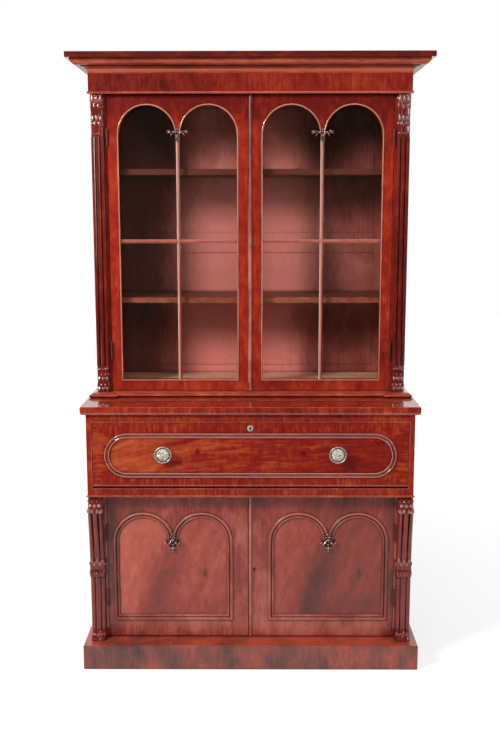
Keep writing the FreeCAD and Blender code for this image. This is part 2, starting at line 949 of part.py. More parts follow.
CAPITAL_SHARES = [
    (0.00, 0.98, 0.98),
    (0.05, 1.00, 1.08),
    (0.10, 0.95, 0.95),
    (0.50, 0.94, 0.97),
    (0.92, 1.00, 1.13),
    (1.00, 0.99, 1.10),
]
BASE_SHARES = [
    (0.00, 0.98, 1.04),
    (0.12, 1.00, 1.12),
    (0.50, 0.94, 0.94),
    (0.90, 1.00, 1.08),
    (1.00, 0.98, 0.98),
]
capitals = []
bases = []
left_capital = reeded_loft(
    "left_capital_loft",
    column_width,
    d.column_reach,
    shaft_high,
    crown_bottom,
    CAPITAL_SHARES,
    (-column_centre, upper_face),
)
left_base = reeded_loft(
    "left_base_loft",
    column_width,
    d.column_reach,
    ledge_top + d.waist_height,
    shaft_low,
    BASE_SHARES,
    (-column_centre, upper_face),
)
group("column_capitals", [left_capital, mirrored("right_capital_loft", left_capital)])
group("column_bases", [left_base, mirrored("right_base_loft", left_base)])

# Waist moulding round the foot of the bookcase, stepped forward under the columns
thumb_reach = d.waist_reach - d.waist_flat
thumb_drop = d.waist_round - (d.waist_round * d.waist_round - thumb_reach * thumb_reach).root()
waist_tip = d.waist_height - thumb_drop
waist_profile = [
    (ZERO, ZERO),
    (d.waist_reach - d.waist_undercut, ZERO),
    (d.waist_reach, waist_tip),
    (d.waist_flat, d.waist_height, d.waist_flat, d.waist_height - d.waist_round, 1),
    (ZERO, d.waist_height),
]
block_inner = case_half - column_width - d.waist_block_margin
waist_path = [
    (-case_half, back),
    (-case_half, column_face),
    (-block_inner, column_face),
    (-block_inner, upper_face),
    (block_inner, upper_face),
    (block_inner, column_face),
    (case_half, column_face),
    (case_half, back),
]
waist_run = mitred_run("waist_run", waist_profile, waist_path, ledge_top, d.waist_reach)
waist_blocks = [
    board(
        f"waist_{side}_block",
        span,
        (column_face, upper_face),
        (ledge_top, ledge_top + d.waist_height),
    )
    for side, span in (("left", (-case_half, -block_inner)), ("right", (block_inner, case_half)))
]
group("waist_moulding", [waist_run] + waist_blocks)

# Frieze, its bead, the cornice and the cap
frieze_height = d.crown_height - d.cap_board
frieze_profile = [
    (-d.frieze_board, ZERO),
    (ZERO, ZERO),
    (ZERO, frieze_height),
    (-d.frieze_board, frieze_height),
]
crown_path = three_sides(frieze_half, frieze_face)
frieze_run = mitred_run("frieze_run", frieze_profile, crown_path, crown_bottom, ZERO)
bead_half_height = d.frieze_bead_height / 2
frieze_bead_profile = [
    (ZERO, ZERO),
    (ZERO, d.frieze_bead_height, ZERO, bead_half_height, 1),
]
frieze_bead = mitred_run(
    "frieze_bead_run", frieze_bead_profile, crown_path, crown_bottom, bead_half_height
)
frieze_back = board(
    "frieze_back_rail",
    both_sides(frieze_half - d.frieze_board),
    (back - d.frieze_board, back),
    (crown_bottom, cap_bottom),
)
group("frieze", [frieze_run, frieze_bead, frieze_back])
step_out = d.cornice_cove + d.cornice_step
fillet_top = d.cornice_cove + d.cornice_fillet
cornice_profile = [
    (ZERO, ZERO),
    (d.cornice_cove, d.cornice_cove, d.cornice_cove, ZERO, -1),
    (d.cornice_cove, fillet_top),
    (step_out, fillet_top),
    (step_out + d.cornice_round, cornice_height, step_out, cornice_height, 1),
    (ZERO, cornice_height),
]
cornice_reach = step_out + d.cornice_round
keep(mitred_run("cornice_run", cornice_profile, crown_path, cornice_bottom, cornice_reach), "cornice")
cap_reach = cornice_reach + d.cap_overhang
cap_half = frieze_half + cap_reach
keep(
    board(
        "cap_top_board",
        both_sides(cap_half),
        (frieze_face - cap_reach, back),
        (cap_bottom, d.overall_height),
    ),
    "cornice_cap",
)


# Doors: two stiles, a bottom rail and a top rail with a double arch
def door_frame(name, face, low, high, bottom, top, stiles, rail_top, spring, lip, radius, tip):
    """Four pieces of a door frame; the tip is how far the spandrel hangs below the spring."""
    deep = (face, face + d.door_board)
    first, last = low + stiles[0], high - stiles[1]
    middle = (first + last) / 2
    tongue = (last - first) / 2 - lip - radius * 2
    right_centre = last - lip - radius
    left_centre = first + lip + radius
    outline = [
        (first, top),
        (first, spring),
        (first + lip, spring),
        (middle - tongue, spring, left_centre, spring, -1),
        (middle, spring - tip),
        (middle + tongue, spring),
        (last - lip, spring, right_centre, spring, -1),
        (last, spring),
        (last, top),
    ]
    arched = padded(name + "_top_rail", "XZ_Plane", [outline], d.door_board, (ZERO, deep[1], ZERO))
    return group(
        name,
        [
            board(name + "_left_stile", (low, first), deep, (bottom, top)),
            board(name + "_right_stile", (last, high), deep, (bottom, top)),
            board(name + "_bottom_rail", (first, last), deep, (bottom, rail_top)),
            arched,
        ],
    )


def double_arch(low, high, bottom, spring, radius, inset, tip):
    """An outline with two round arches side by side, drawn an inset inside the largest one."""
    reach = radius - inset
    middle = (low + high) / 2
    half = (high - low) / 2 - radius
    left_centre, right_centre = low + radius, high - radius
    outline = [
        (low + inset, bottom + inset),
        (high - inset, bottom + inset),
        (high - inset, spring),
    ]
    if reach.value > half.value:
        cusp = spring + (reach * reach - half * half).root()
        outline.append((middle, cusp, right_centre, spring, 1))
    else:
        outline.append((right_centre - reach, spring, right_centre, spring, 1))
        outline.append((middle, spring - tip))
        outline.append((left_centre + reach, spring))
    outline.append((low + inset, spring, left_centre, spring, 1))
    return outline


def pane_outline(first, last, bottom, spring, radius, lip, gap):
    """A sheet that fills a double-arched opening but for a small gap all round."""
    reach = radius - gap
    left_centre, right_centre = first + lip + radius, last - lip - radius
    shoulder = spring - gap
    return [
        (first + gap, bottom + gap),
        (last - gap, bottom + gap),
        (last - gap, shoulder),
        (right_centre + reach, shoulder),
        (right_centre + reach, spring),
        (right_centre - reach, spring, right_centre, spring, 1),
        (right_centre - reach, shoulder),
        (left_centre + reach, shoulder),
        (left_centre + reach, spring),
        (left_centre - reach, spring, left_centre, spring, 1),
        (left_centre - reach, shoulder),
        (first + gap, shoulder),
    ]


# Butt hinges: one leaf with the pin stays on the cabinet, the other turns with the door
cabinet_leaves = []


def butt_hinge(name, jamb, face, bottom):
    """A left-hand hinge: its fixed leaf with the pin, and the leaf that turns."""
    pin_x = -jamb + d.door_gap / 2
    pin_y = face - d.hinge_barrel - d.hinge_joint_gap
    axis = (pin_x, pin_y)
    third = d.hinge_height / 3
    joints = [bottom + third - d.hinge_joint_gap, bottom + third, bottom + third * 2]
    joints.append(joints[2] + d.hinge_joint_gap)
    top = bottom + d.hinge_height
    deep = (face, face + d.hinge_leaf_depth)
    tab = (pin_y + (d.hinge_barrel + d.hinge_pin) / 2, face)
    fixed_across = (-jamb, -jamb + d.hinge_leaf)
    moving_across = (-jamb + d.door_gap - d.hinge_leaf, -jamb + d.door_gap)
    fixed = fuse(
        name + "_fixed_leaf",
        [
            board(name + "_plate", fixed_across, deep, (bottom, top)),
            board(name + "_low_tab", fixed_across, tab, (bottom, joints[0])),
            board(name + "_high_tab", fixed_across, tab, (joints[3], top)),
            rod(name + "_low_knuckle", "z", d.hinge_barrel, (bottom, joints[0]), axis, HINGE_SIDES),
            rod(name + "_high_knuckle", "z", d.hinge_barrel, (joints[3], top), axis, HINGE_SIDES),
            rod(name + "_pin", "z", d.hinge_pin, (bottom, top), axis, HINGE_SIDES),
        ],
    )
    middle = (joints[1], joints[2])
    bore = d.hinge_pin + d.hinge_pin_gap
    knuckle = fuse(
        name + "_turning_plate",
        [
            board(name + "_door_plate", moving_across, deep, (bottom, top)),
            board(name + "_door_tab", moving_across, tab, middle),
            rod(name + "_door_knuckle", "z", d.hinge_barrel, middle, axis, HINGE_SIDES),
        ],
    )
    hole = rod(name + "_bore", "z", bore, (bottom, top), axis, HINGE_SIDES)
    return fixed, cut(name + "_turning_leaf", knuckle, hole)


def hang_doors(stage, jamb, face, bottom, top):
    """Two hinges on each door of one stage; the right-hand ones mirror the left."""
    places = (bottom + d.hinge_end_margin, top - d.hinge_end_margin - d.hinge_height)
    left_leaves = []
    right_leaves = []
    for label, height in zip(("low", "high"), places):
        fixed, turning = butt_hinge(f"{stage}_{label}_hinge", jamb, face, height)
        cabinet_leaves.extend([fixed, mirrored(f"{stage}_{label}_right_fixed_leaf", fixed)])
        left_leaves.append(turning)
        right_leaves.append(mirrored(f"{stage}_{label}_right_turning_leaf", turning))
    group(f"{stage}_left_door_hinges", left_leaves)
    group(f"{stage}_right_door_hinges", right_leaves)


# Glazed doors of the bookcase
upper_bottom = ledge_top + d.waist_height + d.door_gap * 2
upper_top = crown_bottom - d.door_gap
bar_half = d.bar_width / 2
bar_height = upper_bottom + d.upper_bar_rise
pane_bottom = upper_bottom + d.upper_door_bottom_rail
glass_back = upper_face + d.bar_setback + d.bar_depth + d.glass_board
for side, low, high, stiles in (
    ("left", -upper_jamb + d.door_gap, seam_low, (d.upper_door_stile, d.upper_door_stile)),
    (
        "right",
        seam_high,
        upper_jamb - d.door_gap,
        (d.upper_door_stile + d.astragal_width, d.upper_door_stile),
    ),
):
    name = f"upper_{side}_door"
    first, last = low + stiles[0], high - stiles[1]
    radius = ((last - first) / 2 - d.upper_arch_lip - bar_half) / 2
    spring = upper_top - d.upper_arch_margin - radius
    door_frame(
        name + "_frame",
        upper_face,
        low,
        high,
        upper_bottom,
        upper_top,
        stiles,
        pane_bottom,
        spring,
        d.upper_arch_lip,
        radius,
        ZERO,
    )
    middle = (first + last) / 2
    bar_deep = (upper_face + d.bar_setback, upper_face + d.bar_setback + d.bar_depth)
    bar_across = (middle - bar_half, middle + bar_half)
    bar_high = (bar_height - bar_half, bar_height + bar_half)
    group(
        name + "_glazing_bars",
        [
            board(name + "_upright_bar", bar_across, bar_deep, (pane_bottom, spring)),
            board(name + "_left_bar", (first, middle - bar_half), bar_deep, bar_high),
            board(name + "_right_bar", (middle + bar_half, last), bar_deep, bar_high),
        ],
    )
    pane = pane_outline(first, last, pane_bottom, spring, radius, d.upper_arch_lip, d.glass_gap)
    sheet = padded(name + "_pane", "XZ_Plane", [pane], d.glass_board, (ZERO, glass_back, ZERO))
    keep(sheet, name + "_glass")
hang_doors("upper", upper_jamb, upper_face, upper_bottom, upper_top)

# Panelled doors of the cupboard
lower_bottom = d.plinth_height + d.lower_door_raise
lower_top = d.section_bottom - d.lower_door_drop
arch_bottom = lower_bottom + d.arch_bottom_margin
panel_face = lower_face + d.panel_recess

# How far the tongue between the arches sinks for each step inwards
TONGUE_STEP_SHARE = 2.0


def tongue_drop(inset):
    """How far the tongue hangs below the spring of the arches on an outline set in by an inset."""
    return d.tongue_drop - (d.arch_moulding - inset) * TONGUE_STEP_SHARE


LEAF_DROP_SHARES = [
    (0.00, 0.16, 0.40),
    (0.20, 0.50, 0.86),
    (0.50, 0.96, 1.00),
    (0.72, 0.94, 0.92),
    (1.00, 0.22, 0.48),
]
for side, low, high, margins in (
    ("left", -lower_jamb + d.door_gap, seam_low, (d.arch_side_margin, d.arch_seam_margin)),
    (
        "right",
        seam_high,
        lower_jamb - d.door_gap,
        (d.arch_seam_margin + d.seam_offset * 2, d.arch_side_margin),
    ),
):
    name = f"lower_{side}_door"
    first, last = low + margins[0], high - margins[1]
    radius = ((last - first) / 2 + d.arch_overlap) / 2
    lower_spring = lower_top - d.arch_top_margin - radius
    inner_radius = radius - d.arch_rebate - d.lower_arch_lip
    frame_tip = tongue_drop(d.arch_rebate + d.lower_arch_lip)
    door_frame(
        name + "_frame",
        lower_face,
        low,
        high,
        lower_bottom,
        lower_top,
        (margins[0] + d.arch_rebate, margins[1] + d.arch_rebate),
        arch_bottom + d.arch_rebate,
        lower_spring,
        d.lower_arch_lip,
        inner_radius,
        frame_tip,
    )

    def arch(inset):
        return double_arch(first, last, arch_bottom, lower_spring, radius, inset, tongue_drop(inset))

    panel_inset = d.arch_rebate + d.lower_arch_lip + d.glass_gap
    panel = padded(
        name + "_panel_board",
        "XZ_Plane",
        [arch(panel_inset)],
        d.lower_panel,
        (ZERO, panel_face + d.lower_panel, ZERO),
    )
    keep(panel, name + "_panel")
    ring = padded(
        name + "_arch_moulding",
        "XZ_Plane",
        [arch(panel_inset), arch(d.arch_moulding)],
        d.panel_recess + d.arch_moulding_low,
        (ZERO, panel_face, ZERO),
    )
    crest_rings = [arch(ZERO), arch(d.arch_moulding - d.arch_inner_step)]
    crest_start = d.panel_recess
    add_pad(ring, name + "_arch_crest", "XZ_Plane", crest_rings, d.arch_moulding_reach, crest_start)
    leaf_top = lower_spring + d.leaf_drop_height - d.leaf_drop_hang
    leaf = reeded_loft(
        name + "_leaf_loft",
        d.leaf_drop_width,
        d.leaf_drop_reach,
        leaf_top - d.leaf_drop_height,
        leaf_top,
        LEAF_DROP_SHARES,
        ((first + last) / 2, lower_face - d.arch_moulding_reach),
    )
    group(name + "_moulding", [ring, leaf])
hang_doors("lower", lower_jamb, lower_face, lower_bottom, lower_top)
group("cabinet_hinges", cabinet_leaves)

# Astragals on the meeting stiles of the right-hand doors
astragal_centre = seam_high + d.astragal_width / 2
for stage, face, bottom, top in (
    ("upper", upper_face, upper_bottom, upper_top),
    ("lower", lower_face, lower_bottom, lower_top),
):
    half = d.astragal_width / 2
    outline = [
        (astragal_centre - half, ZERO),
        (astragal_centre + half, ZERO, astragal_centre, ZERO, 1),
    ]
    bead = padded(f"{stage}_astragal_bead", "XY_Plane", [outline], top - bottom, (ZERO, face, bottom))
    keep(bead, f"{stage}_door_astragal")


# Secretaire drawer: a box whose front is the hinged fall
fall_back = section_face + d.fall_board
fall_bottom = opening_bottom + d.fall_gap
fall_top = opening_top - d.fall_gap
fall_half = lower_inner - d.fall_gap
pivot_y = section_face + d.fall_board / 2
pivot_z = fall_bottom + d.fall_board / 2

drawer_half = lower_inner - d.drawer_gap
drawer_inner = drawer_half - d.drawer_side
drawer_front = fall_back + d.drawer_front_gap
drawer_back = back_face - d.drawer_back_gap
drawer_back_face = drawer_back - d.drawer_side
drawer_side_top = opening_top - d.drawer_top_gap
floor_top = fall_bottom + d.fall_board
floor_bottom = floor_top - d.drawer_bottom
slot_back = pivot_y + d.quadrant_radius + d.quadrant_slot_gap
side_deep = (drawer_front, drawer_back)
side_high = (opening_bottom, drawer_side_top)
front_floor_half = drawer_inner - d.quadrant_slot
group(
    "secretaire_drawer_box",
    [
        board("drawer_left_side", (-drawer_half, -drawer_inner), side_deep, side_high),
        board("drawer_right_side", (drawer_inner, drawer_half), side_deep, side_high),
        board("drawer_back_board", both_sides(drawer_inner), (drawer_back_face, drawer_back), side_high),
        board(
            "drawer_front_floor",
            both_sides(front_floor_half),
            (drawer_front, slot_back),
            (floor_bottom, floor_top),
        ),
        board(
            "drawer_back_floor",
            both_sides(drawer_inner),
            (slot_back, drawer_back_face),
            (floor_bottom, floor_top),
        ),
    ],
)

# Pin hinges under the drawer floor that carry the fall
hinge_half = d.fall_hinge_width / 2
pin_half = hinge_half + d.fall_hinge_clearance + d.fall_hinge_pin_hold
hinges = []
notches = []
for number, middle in enumerate((-d.fall_hinge_spacing, ZERO, d.fall_hinge_spacing), start=1):
    width = (middle - hinge_half, middle + hinge_half)
    pin_width = (middle - pin_half, middle + pin_half)
    notch_half = hinge_half + d.fall_hinge_clearance
    centre = (pivot_y, pivot_z)
    hinges.append(
        fuse(
            f"fall_hinge_{number}",
            [
                board(
                    f"fall_hinge_plate_{number}",
                    width,
                    (pivot_y, drawer_front + d.fall_hinge_reach),
                    (floor_bottom - d.fall_hinge_plate, floor_bottom),
                ),
                rod(f"fall_hinge_barrel_{number}", "x", d.fall_hinge_barrel, width, centre, HINGE_SIDES),
                rod(f"fall_hinge_pin_{number}", "x", d.fall_hinge_pin, pin_width, centre, HINGE_SIDES),
            ],
        )
    )
    notches.append(
        board(
            f"fall_notch_{number}",
            (middle - notch_half, middle + notch_half),
            (pivot_y - d.fall_notch, fall_back + OVERRUN),
            (fall_bottom - OVERRUN, pivot_z + d.fall_notch),
        )
    )
    hole_width = (pin_width[0] - d.hinge_joint_gap, pin_width[1] + d.hinge_joint_gap)
    hole = d.fall_hinge_pin + d.hinge_joint_gap
    notches.append(rod(f"fall_pin_hole_{number}", "x", hole, hole_width, centre, HINGE_SIDES))
group("fall_hinges", hinges)

# Fitted interior: two banks of small drawers with three pigeonholes between them
fitment_half = drawer_inner - d.fitment_side_gap
fitment_back = drawer_back_face
fitment_front = pivot_y + d.quadrant_radius + d.fitment_stay_gap
fitment_top = drawer_side_top - d.fitment_top_gap
bay_bottom = floor_top + d.fitment_board
bay_top = fitment_top - d.fitment_board
bay_middle = (bay_bottom + bay_top) / 2
bank_outer = fitment_half - d.fitment_board
bank_wall = fitment_half - d.bank_width
bank_inner = bank_wall + d.fitment_board
bay_deep = (fitment_front, fitment_back - d.fitment_board)
bay_high = (bay_bottom, bay_top)
hole_width = (bank_wall * 2 - d.fitment_board * 2) / 3
hole_half = hole_width / 2
divider_high = (bay_middle - d.fitment_board / 2, bay_middle + d.fitment_board / 2)
fitment = [
    board("fitment_floor", both_sides(fitment_half), (fitment_front, fitment_back), (floor_top, bay_bottom)),
    board("fitment_top", both_sides(fitment_half), (fitment_front, fitment_back), (bay_top, fitment_top)),
    board("fitment_back", both_sides(fitment_half), (bay_deep[1], fitment_back), bay_high),
    board("fitment_left_side", (-fitment_half, -bank_outer), bay_deep, bay_high),
    board("fitment_right_side", (bank_outer, fitment_half), bay_deep, bay_high),
    board("fitment_left_wall", (-bank_inner, -bank_wall), bay_deep, bay_high),
    board("fitment_right_wall", (bank_wall, bank_inner), bay_deep, bay_high),
    board("fitment_left_divider", (-bank_outer, -bank_inner), bay_deep, divider_high),
    board("fitment_right_divider", (bank_inner, bank_outer), bay_deep, divider_high),
    board("pigeonhole_left_wall", (-hole_half - d.fitment_board, -hole_half), bay_deep, bay_high),
    board("pigeonhole_right_wall", (hole_half, hole_half + d.fitment_board), bay_deep, bay_high),
]
valance_half = hole_half - d.valance_lip
valance_radius = (valance_half * valance_half + d.valance_rise * d.valance_rise) / (d.valance_rise * 2)
valance_low = bay_top - d.valance_height
valance_centre = valance_low + d.valance_rise - valance_radius
for number, step in enumerate((-1, 0, 1), start=1):
    middle = (hole_width + d.fitment_board) * step
    outline = [
        (middle - hole_half, bay_top),
        (middle - hole_half, valance_low),
        (middle - valance_half, valance_low),
        (middle + valance_half, valance_low, middle, valance_centre, -1),
        (middle + hole_half, valance_low),
        (middle + hole_half, bay_top),
    ]
    at = (ZERO, fitment_front + d.valance_sheet, ZERO)
    fitment.append(padded(f"pigeonhole_valance_{number}", "XZ_Plane", [outline], d.valance_sheet, at))
group("pigeonhole_fitment", fitment)

# Small drawers, each with a turned knob
SMALL_KNOB_SHARES = [
    (0.00, 0.60),
    (0.40, 0.42),
    (0.72, 1.00),
    (1.00, 0.60),
]
LARGE_KNOB_SHARES = [
    (0.00, 0.52),
    (0.14, 0.30),
    (0.46, 0.28),
    (0.66, 1.00),
    (0.86, 1.00),
    (0.92, 0.89),
    (0.84, 0.78),
    (0.82, 0.58),
    (0.97, 0.30),
    (1.00, 0.05),
]


def knob(name, shares, radius, reach, at, sides):
    """A turned knob with many flat sides, from rows of reach and radius shares."""
    turns = [math.tau * number / sides for number in range(sides)]
    rings = []
    for reach_share, radius_share in shares:
        size, depth = radius.value * radius_share, -reach.value * reach_share
        rings.append([FreeCAD.Vector(math.cos(turn) * size, depth, math.sin(turn) * size) for turn in turns])
    return ring_solid(name, rings, at)


def small_drawer(number, across, high):
    """A small drawer that fills one bay of a bank."""
    low, top = across[0] + d.small_drawer_gap, across[1] - d.small_drawer_gap
    bottom, rim = high[0], high[1] - d.small_drawer_gap
    front = fitment_front + d.small_drawer_set
    inside = front + d.small_drawer_front
    end = fitment_back - d.fitment_board - d.small_drawer_back_gap
    side = d.small_drawer_side
    sides_high = (bottom, rim - d.small_drawer_gap * 2)
    name = f"small_drawer_{number}"
    inner_span = (low + side, top - side)
    floor_high = (bottom + d.small_drawer_gap, bottom + d.small_drawer_gap + d.small_drawer_bottom)
    middle = ((low + top) / 2, front, (bottom + rim) / 2)
    group(
        name,
        [
            board(name + "_front", (low, top), (front, inside), (bottom, rim)),
            board(name + "_left_side", (low, low + side), (inside, end), sides_high),
            board(name + "_right_side", (top - side, top), (inside, end), sides_high),
            board(name + "_back", inner_span, (end - side, end), sides_high),
            board(name + "_floor", inner_span, (inside, end - side), floor_high),
            knob(
                name + "_knob",
                SMALL_KNOB_SHARES,
                d.small_knob_radius,
                d.small_knob_projection,
                middle,
                SMALL_KNOB_SIDES,
            ),
        ],
    )


upper_bay = (divider_high[1], bay_top)
lower_bay = (bay_bottom, divider_high[0])
small_drawer(1, (-bank_outer, -bank_inner), upper_bay)
small_drawer(2, (-bank_outer, -bank_inner), lower_bay)
small_drawer(3, (bank_inner, bank_outer), upper_bay)
small_drawer(4, (bank_inner, bank_outer), lower_bay)

# Fall front, turning on the centre of its half-round bottom edge
fall_outline = [
    (fall_back, fall_top),
    (section_face, fall_top),
    (section_face, pivot_z),
    (fall_back, pivot_z, pivot_y, pivot_z, 1),
]
fall_blank = padded("fall_blank", "YZ_Plane", [fall_outline], fall_half * 2, (-fall_half, ZERO, ZERO))
leather_half = fall_half - d.leather_margin
leather_high = (pivot_z + d.leather_margin, fall_top - d.leather_margin)
leather_front = fall_back - d.leather_sheet
recess = board("leather_recess", both_sides(leather_half), (leather_front, fall_back + OVERRUN), leather_high)
keep(cut("fall_board_cut", fall_blank, fuse("fall_cutters", notches + [recess])), "fall_board")
leather = board("leather_sheet_board", both_sides(leather_half), (leather_front, fall_back), leather_high)
keep(leather, "fall_leather")

# Moulding of the fall: a long ring with half-round ends
fall_ring_half = lower_inner - d.fall_moulding_side_margin
fall_ring_radius = (d.opening_height - d.fall_moulding_bottom - d.fall_moulding_top) / 2
fall_ring_centre = fall_ring_half - fall_ring_radius
fall_ring_middle = opening_bottom + d.fall_moulding_bottom + fall_ring_radius


def long_ring(inset):
    """Two straight sides joined by half-round ends."""
    reach = fall_ring_radius - inset
    low, high = fall_ring_middle - reach, fall_ring_middle + reach
    return [
        (-fall_ring_centre, low, -fall_ring_centre, fall_ring_middle, 1),
        (fall_ring_centre, low),
        (fall_ring_centre, high, fall_ring_centre, fall_ring_middle, 1),
        (-fall_ring_centre, high),
    ]


fall_moulding = padded(
    "fall_moulding_ring",
    "XZ_Plane",
    [long_ring(ZERO), long_ring(d.fall_moulding_width)],
    d.fall_moulding_low,
    (ZERO, section_face, ZERO),
)
fall_crest_rings = [long_ring(d.fall_crest_set), long_ring(d.fall_moulding_width - d.fall_crest_set)]
add_pad(fall_moulding, "fall_moulding_crest", "XZ_Plane", fall_crest_rings, d.fall_moulding_reach)
keep(fall_moulding, "fall_moulding")

# Brasswork of the fall
left_knob = knob(
    "left_fall_knob",
    LARGE_KNOB_SHARES,
    d.knob_radius,
    d.knob_projection,
    (-d.knob_spacing / 2, section_face, fall_ring_middle + d.knob_rise),
    LARGE_KNOB_SIDES,
)
group("fall_knobs", [left_knob, mirrored("right_fall_knob", left_knob)])


def stay_sector(name, radius, across):
    """A slice of a round sheet about the pivot, between the two angles of the stay."""
    sector = rod(name, "x", radius, across, (pivot_y, pivot_z))
    sector.Angle = QUADRANT_END_ANGLE - QUADRANT_START_ANGLE
    start = FreeCAD.Rotation(FreeCAD.Vector(1, 0, 0), 180 - QUADRANT_END_ANGLE)
    sector.Placement.Rotation = start.multiply(sector.Placement.Rotation)
    return sector


stay_outer = drawer_inner - d.quadrant_side_gap
stay_across = (-stay_outer, -stay_outer + d.quadrant_sheet)
stay_core = rod(
    "stay_core",
    "x",
    d.quadrant_radius - d.quadrant_band,
    (stay_across[0] - OVERRUN, stay_across[1] + OVERRUN),
    (pivot_y, pivot_z),
)
stay_arc = cut("stay_arc", stay_sector("stay_sector", d.quadrant_radius, stay_across), stay_core)
flange_middle = pivot_z + d.quadrant_radius - d.quadrant_band / 2
stay_flange = board(
    "stay_flange",
    (-stay_outer, -stay_outer + d.quadrant_flange),
    (fall_back, fall_back + d.quadrant_flange_sheet),
    (flange_middle - d.quadrant_foot / 2, flange_middle + d.quadrant_foot / 2),
)
left_stay = fuse("left_stay", [stay_arc, stay_flange])
escutcheon_reach = (section_face - d.escutcheon_reach, section_face)
escutcheon_centre = (ZERO, fall_top - d.escutcheon_drop)
escutcheon = rod(
    "fall_escutcheon",
    "y",
    d.escutcheon_radius,
    escutcheon_reach,
    escutcheon_centre,
    LARGE_KNOB_SIDES,
)
group("fall_brasswork", [left_stay, mirrored("right_stay", left_stay), escutcheon])

# Check every object before anything is written
doc.recompute()
for obj in doc.Objects:
    if "Invalid" in obj.State or "Error" in obj.State:
        raise RuntimeError(f"{obj.Name} is in the state {obj.State}")
labels = [node.Label for node in NODES]
if len(set(labels)) != len(labels):
    raise RuntimeError("two nodes share a name")
for node in NODES:
    if node.Shape.isNull() or not node.Shape.isValid() or not node.Shape.Solids:
        raise RuntimeError(f"{node.Label} has no valid solid")

os.makedirs("parts", exist_ok=True)
for node in NODES:
    node.Shape.exportStep(f"parts/{node.Label}.step")
    print(f"{node.Label}: {len(node.Shape.Solids)} solids, {node.Shape.Volume / 1000:.1f} cm3")
print(f"{len(NODES)} nodes")
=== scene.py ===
# %% [markdown]
# # A mahogany secretaire bookcase
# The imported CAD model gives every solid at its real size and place, in metres.
# This lesson dresses it: polish, carving, brass, leather and glass are made in Blender,
# and each new piece rides on the CAD body that carries it on the real furniture.

# %% Load the frame
import math
from functools import partialmethod

import bmesh
import bpy
import numpy as np
from mathutils import Matrix, Vector


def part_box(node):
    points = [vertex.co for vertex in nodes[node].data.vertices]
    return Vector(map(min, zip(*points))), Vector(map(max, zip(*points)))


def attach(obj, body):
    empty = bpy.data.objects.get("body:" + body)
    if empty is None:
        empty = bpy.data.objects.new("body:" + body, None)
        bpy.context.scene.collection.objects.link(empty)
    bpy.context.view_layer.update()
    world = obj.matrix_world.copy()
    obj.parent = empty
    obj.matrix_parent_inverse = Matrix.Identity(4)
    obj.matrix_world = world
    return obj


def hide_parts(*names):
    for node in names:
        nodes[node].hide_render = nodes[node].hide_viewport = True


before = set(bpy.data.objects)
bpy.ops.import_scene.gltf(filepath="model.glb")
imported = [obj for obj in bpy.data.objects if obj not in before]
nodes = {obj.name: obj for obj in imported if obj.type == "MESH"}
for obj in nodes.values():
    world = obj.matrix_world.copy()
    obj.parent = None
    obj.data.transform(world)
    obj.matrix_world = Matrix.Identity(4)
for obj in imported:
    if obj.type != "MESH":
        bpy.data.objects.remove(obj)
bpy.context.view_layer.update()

# %% [markdown]
# ## Where the photographer stood
# The camera's place and tilt were solved from the corners of the real piece in the photograph:
# it stands 3.5 m in front of the plinth, at standing eye height, and looks a little down.
# A camera could also be placed by eye, but a solved one lets every edge be compared by pixels.

# %% Camera
EYE = Vector((0.0219, -3.8096, 1.7072))
PITCH, YAW, ROLL = 0.1661, -0.0064, -0.0011
LENS = 48.648


def eye_turn(pitch, yaw, roll):
    """The camera's rotation: it looks along +Y, turned by yaw, tilted down by pitch."""
    ahead = Vector((math.sin(yaw) * math.cos(pitch), math.cos(yaw) * math.cos(pitch),
                    -math.sin(pitch)))
    right = Vector((math.cos(yaw), -math.sin(yaw), 0))
    up = right.cross(ahead)
    level_right = right * math.cos(roll) + up * math.sin(roll)
    level_up = up * math.cos(roll) - right * math.sin(roll)
    return Matrix((level_right, level_up, -ahead)).transposed().to_4x4()


def placed(name, data):
    """A new object in the scene's collection."""
    thing = bpy.data.objects.new(name, data)
    bpy.context.collection.objects.link(thing)
    return thing


camera_data = bpy.data.cameras.new("photographer")
camera_data.sensor_fit, camera_data.sensor_width, camera_data.lens = "AUTO", 36, LENS
camera = placed("photographer", camera_data)
camera.matrix_world = Matrix.Translation(EYE) @ eye_turn(PITCH, YAW, ROLL)
bpy.context.scene.camera = camera
print("lens", camera_data.lens, "mm")

# %% [markdown]
# ## Calculating with nodes
# A material recipe is mostly arithmetic on coordinates and noise. Nodes could be placed one by
# one, but a small class that stands for a node's output lets the recipes read like sums:
# every plus, minus or times adds one Math node.

# %% Nodes and numbers
def fill(made, values):
    """Sets a node's inputs by name or number; a value that is itself an output is linked."""
    for key, value in values.items():
        value = getattr(value, "socket", value)
        if isinstance(value, bpy.types.NodeSocket):
            made.id_data.links.new(value, made.inputs[key])
        else:
            made.inputs[key].default_value = value


def node(tree, kind, values=(), **settings):
    """Adds one node, gives it its settings and then fills its inputs."""
    made = tree.nodes.new(kind)
    for key, value in settings.items():
        setattr(made, key, value)
    fill(made, dict(values))
    return made


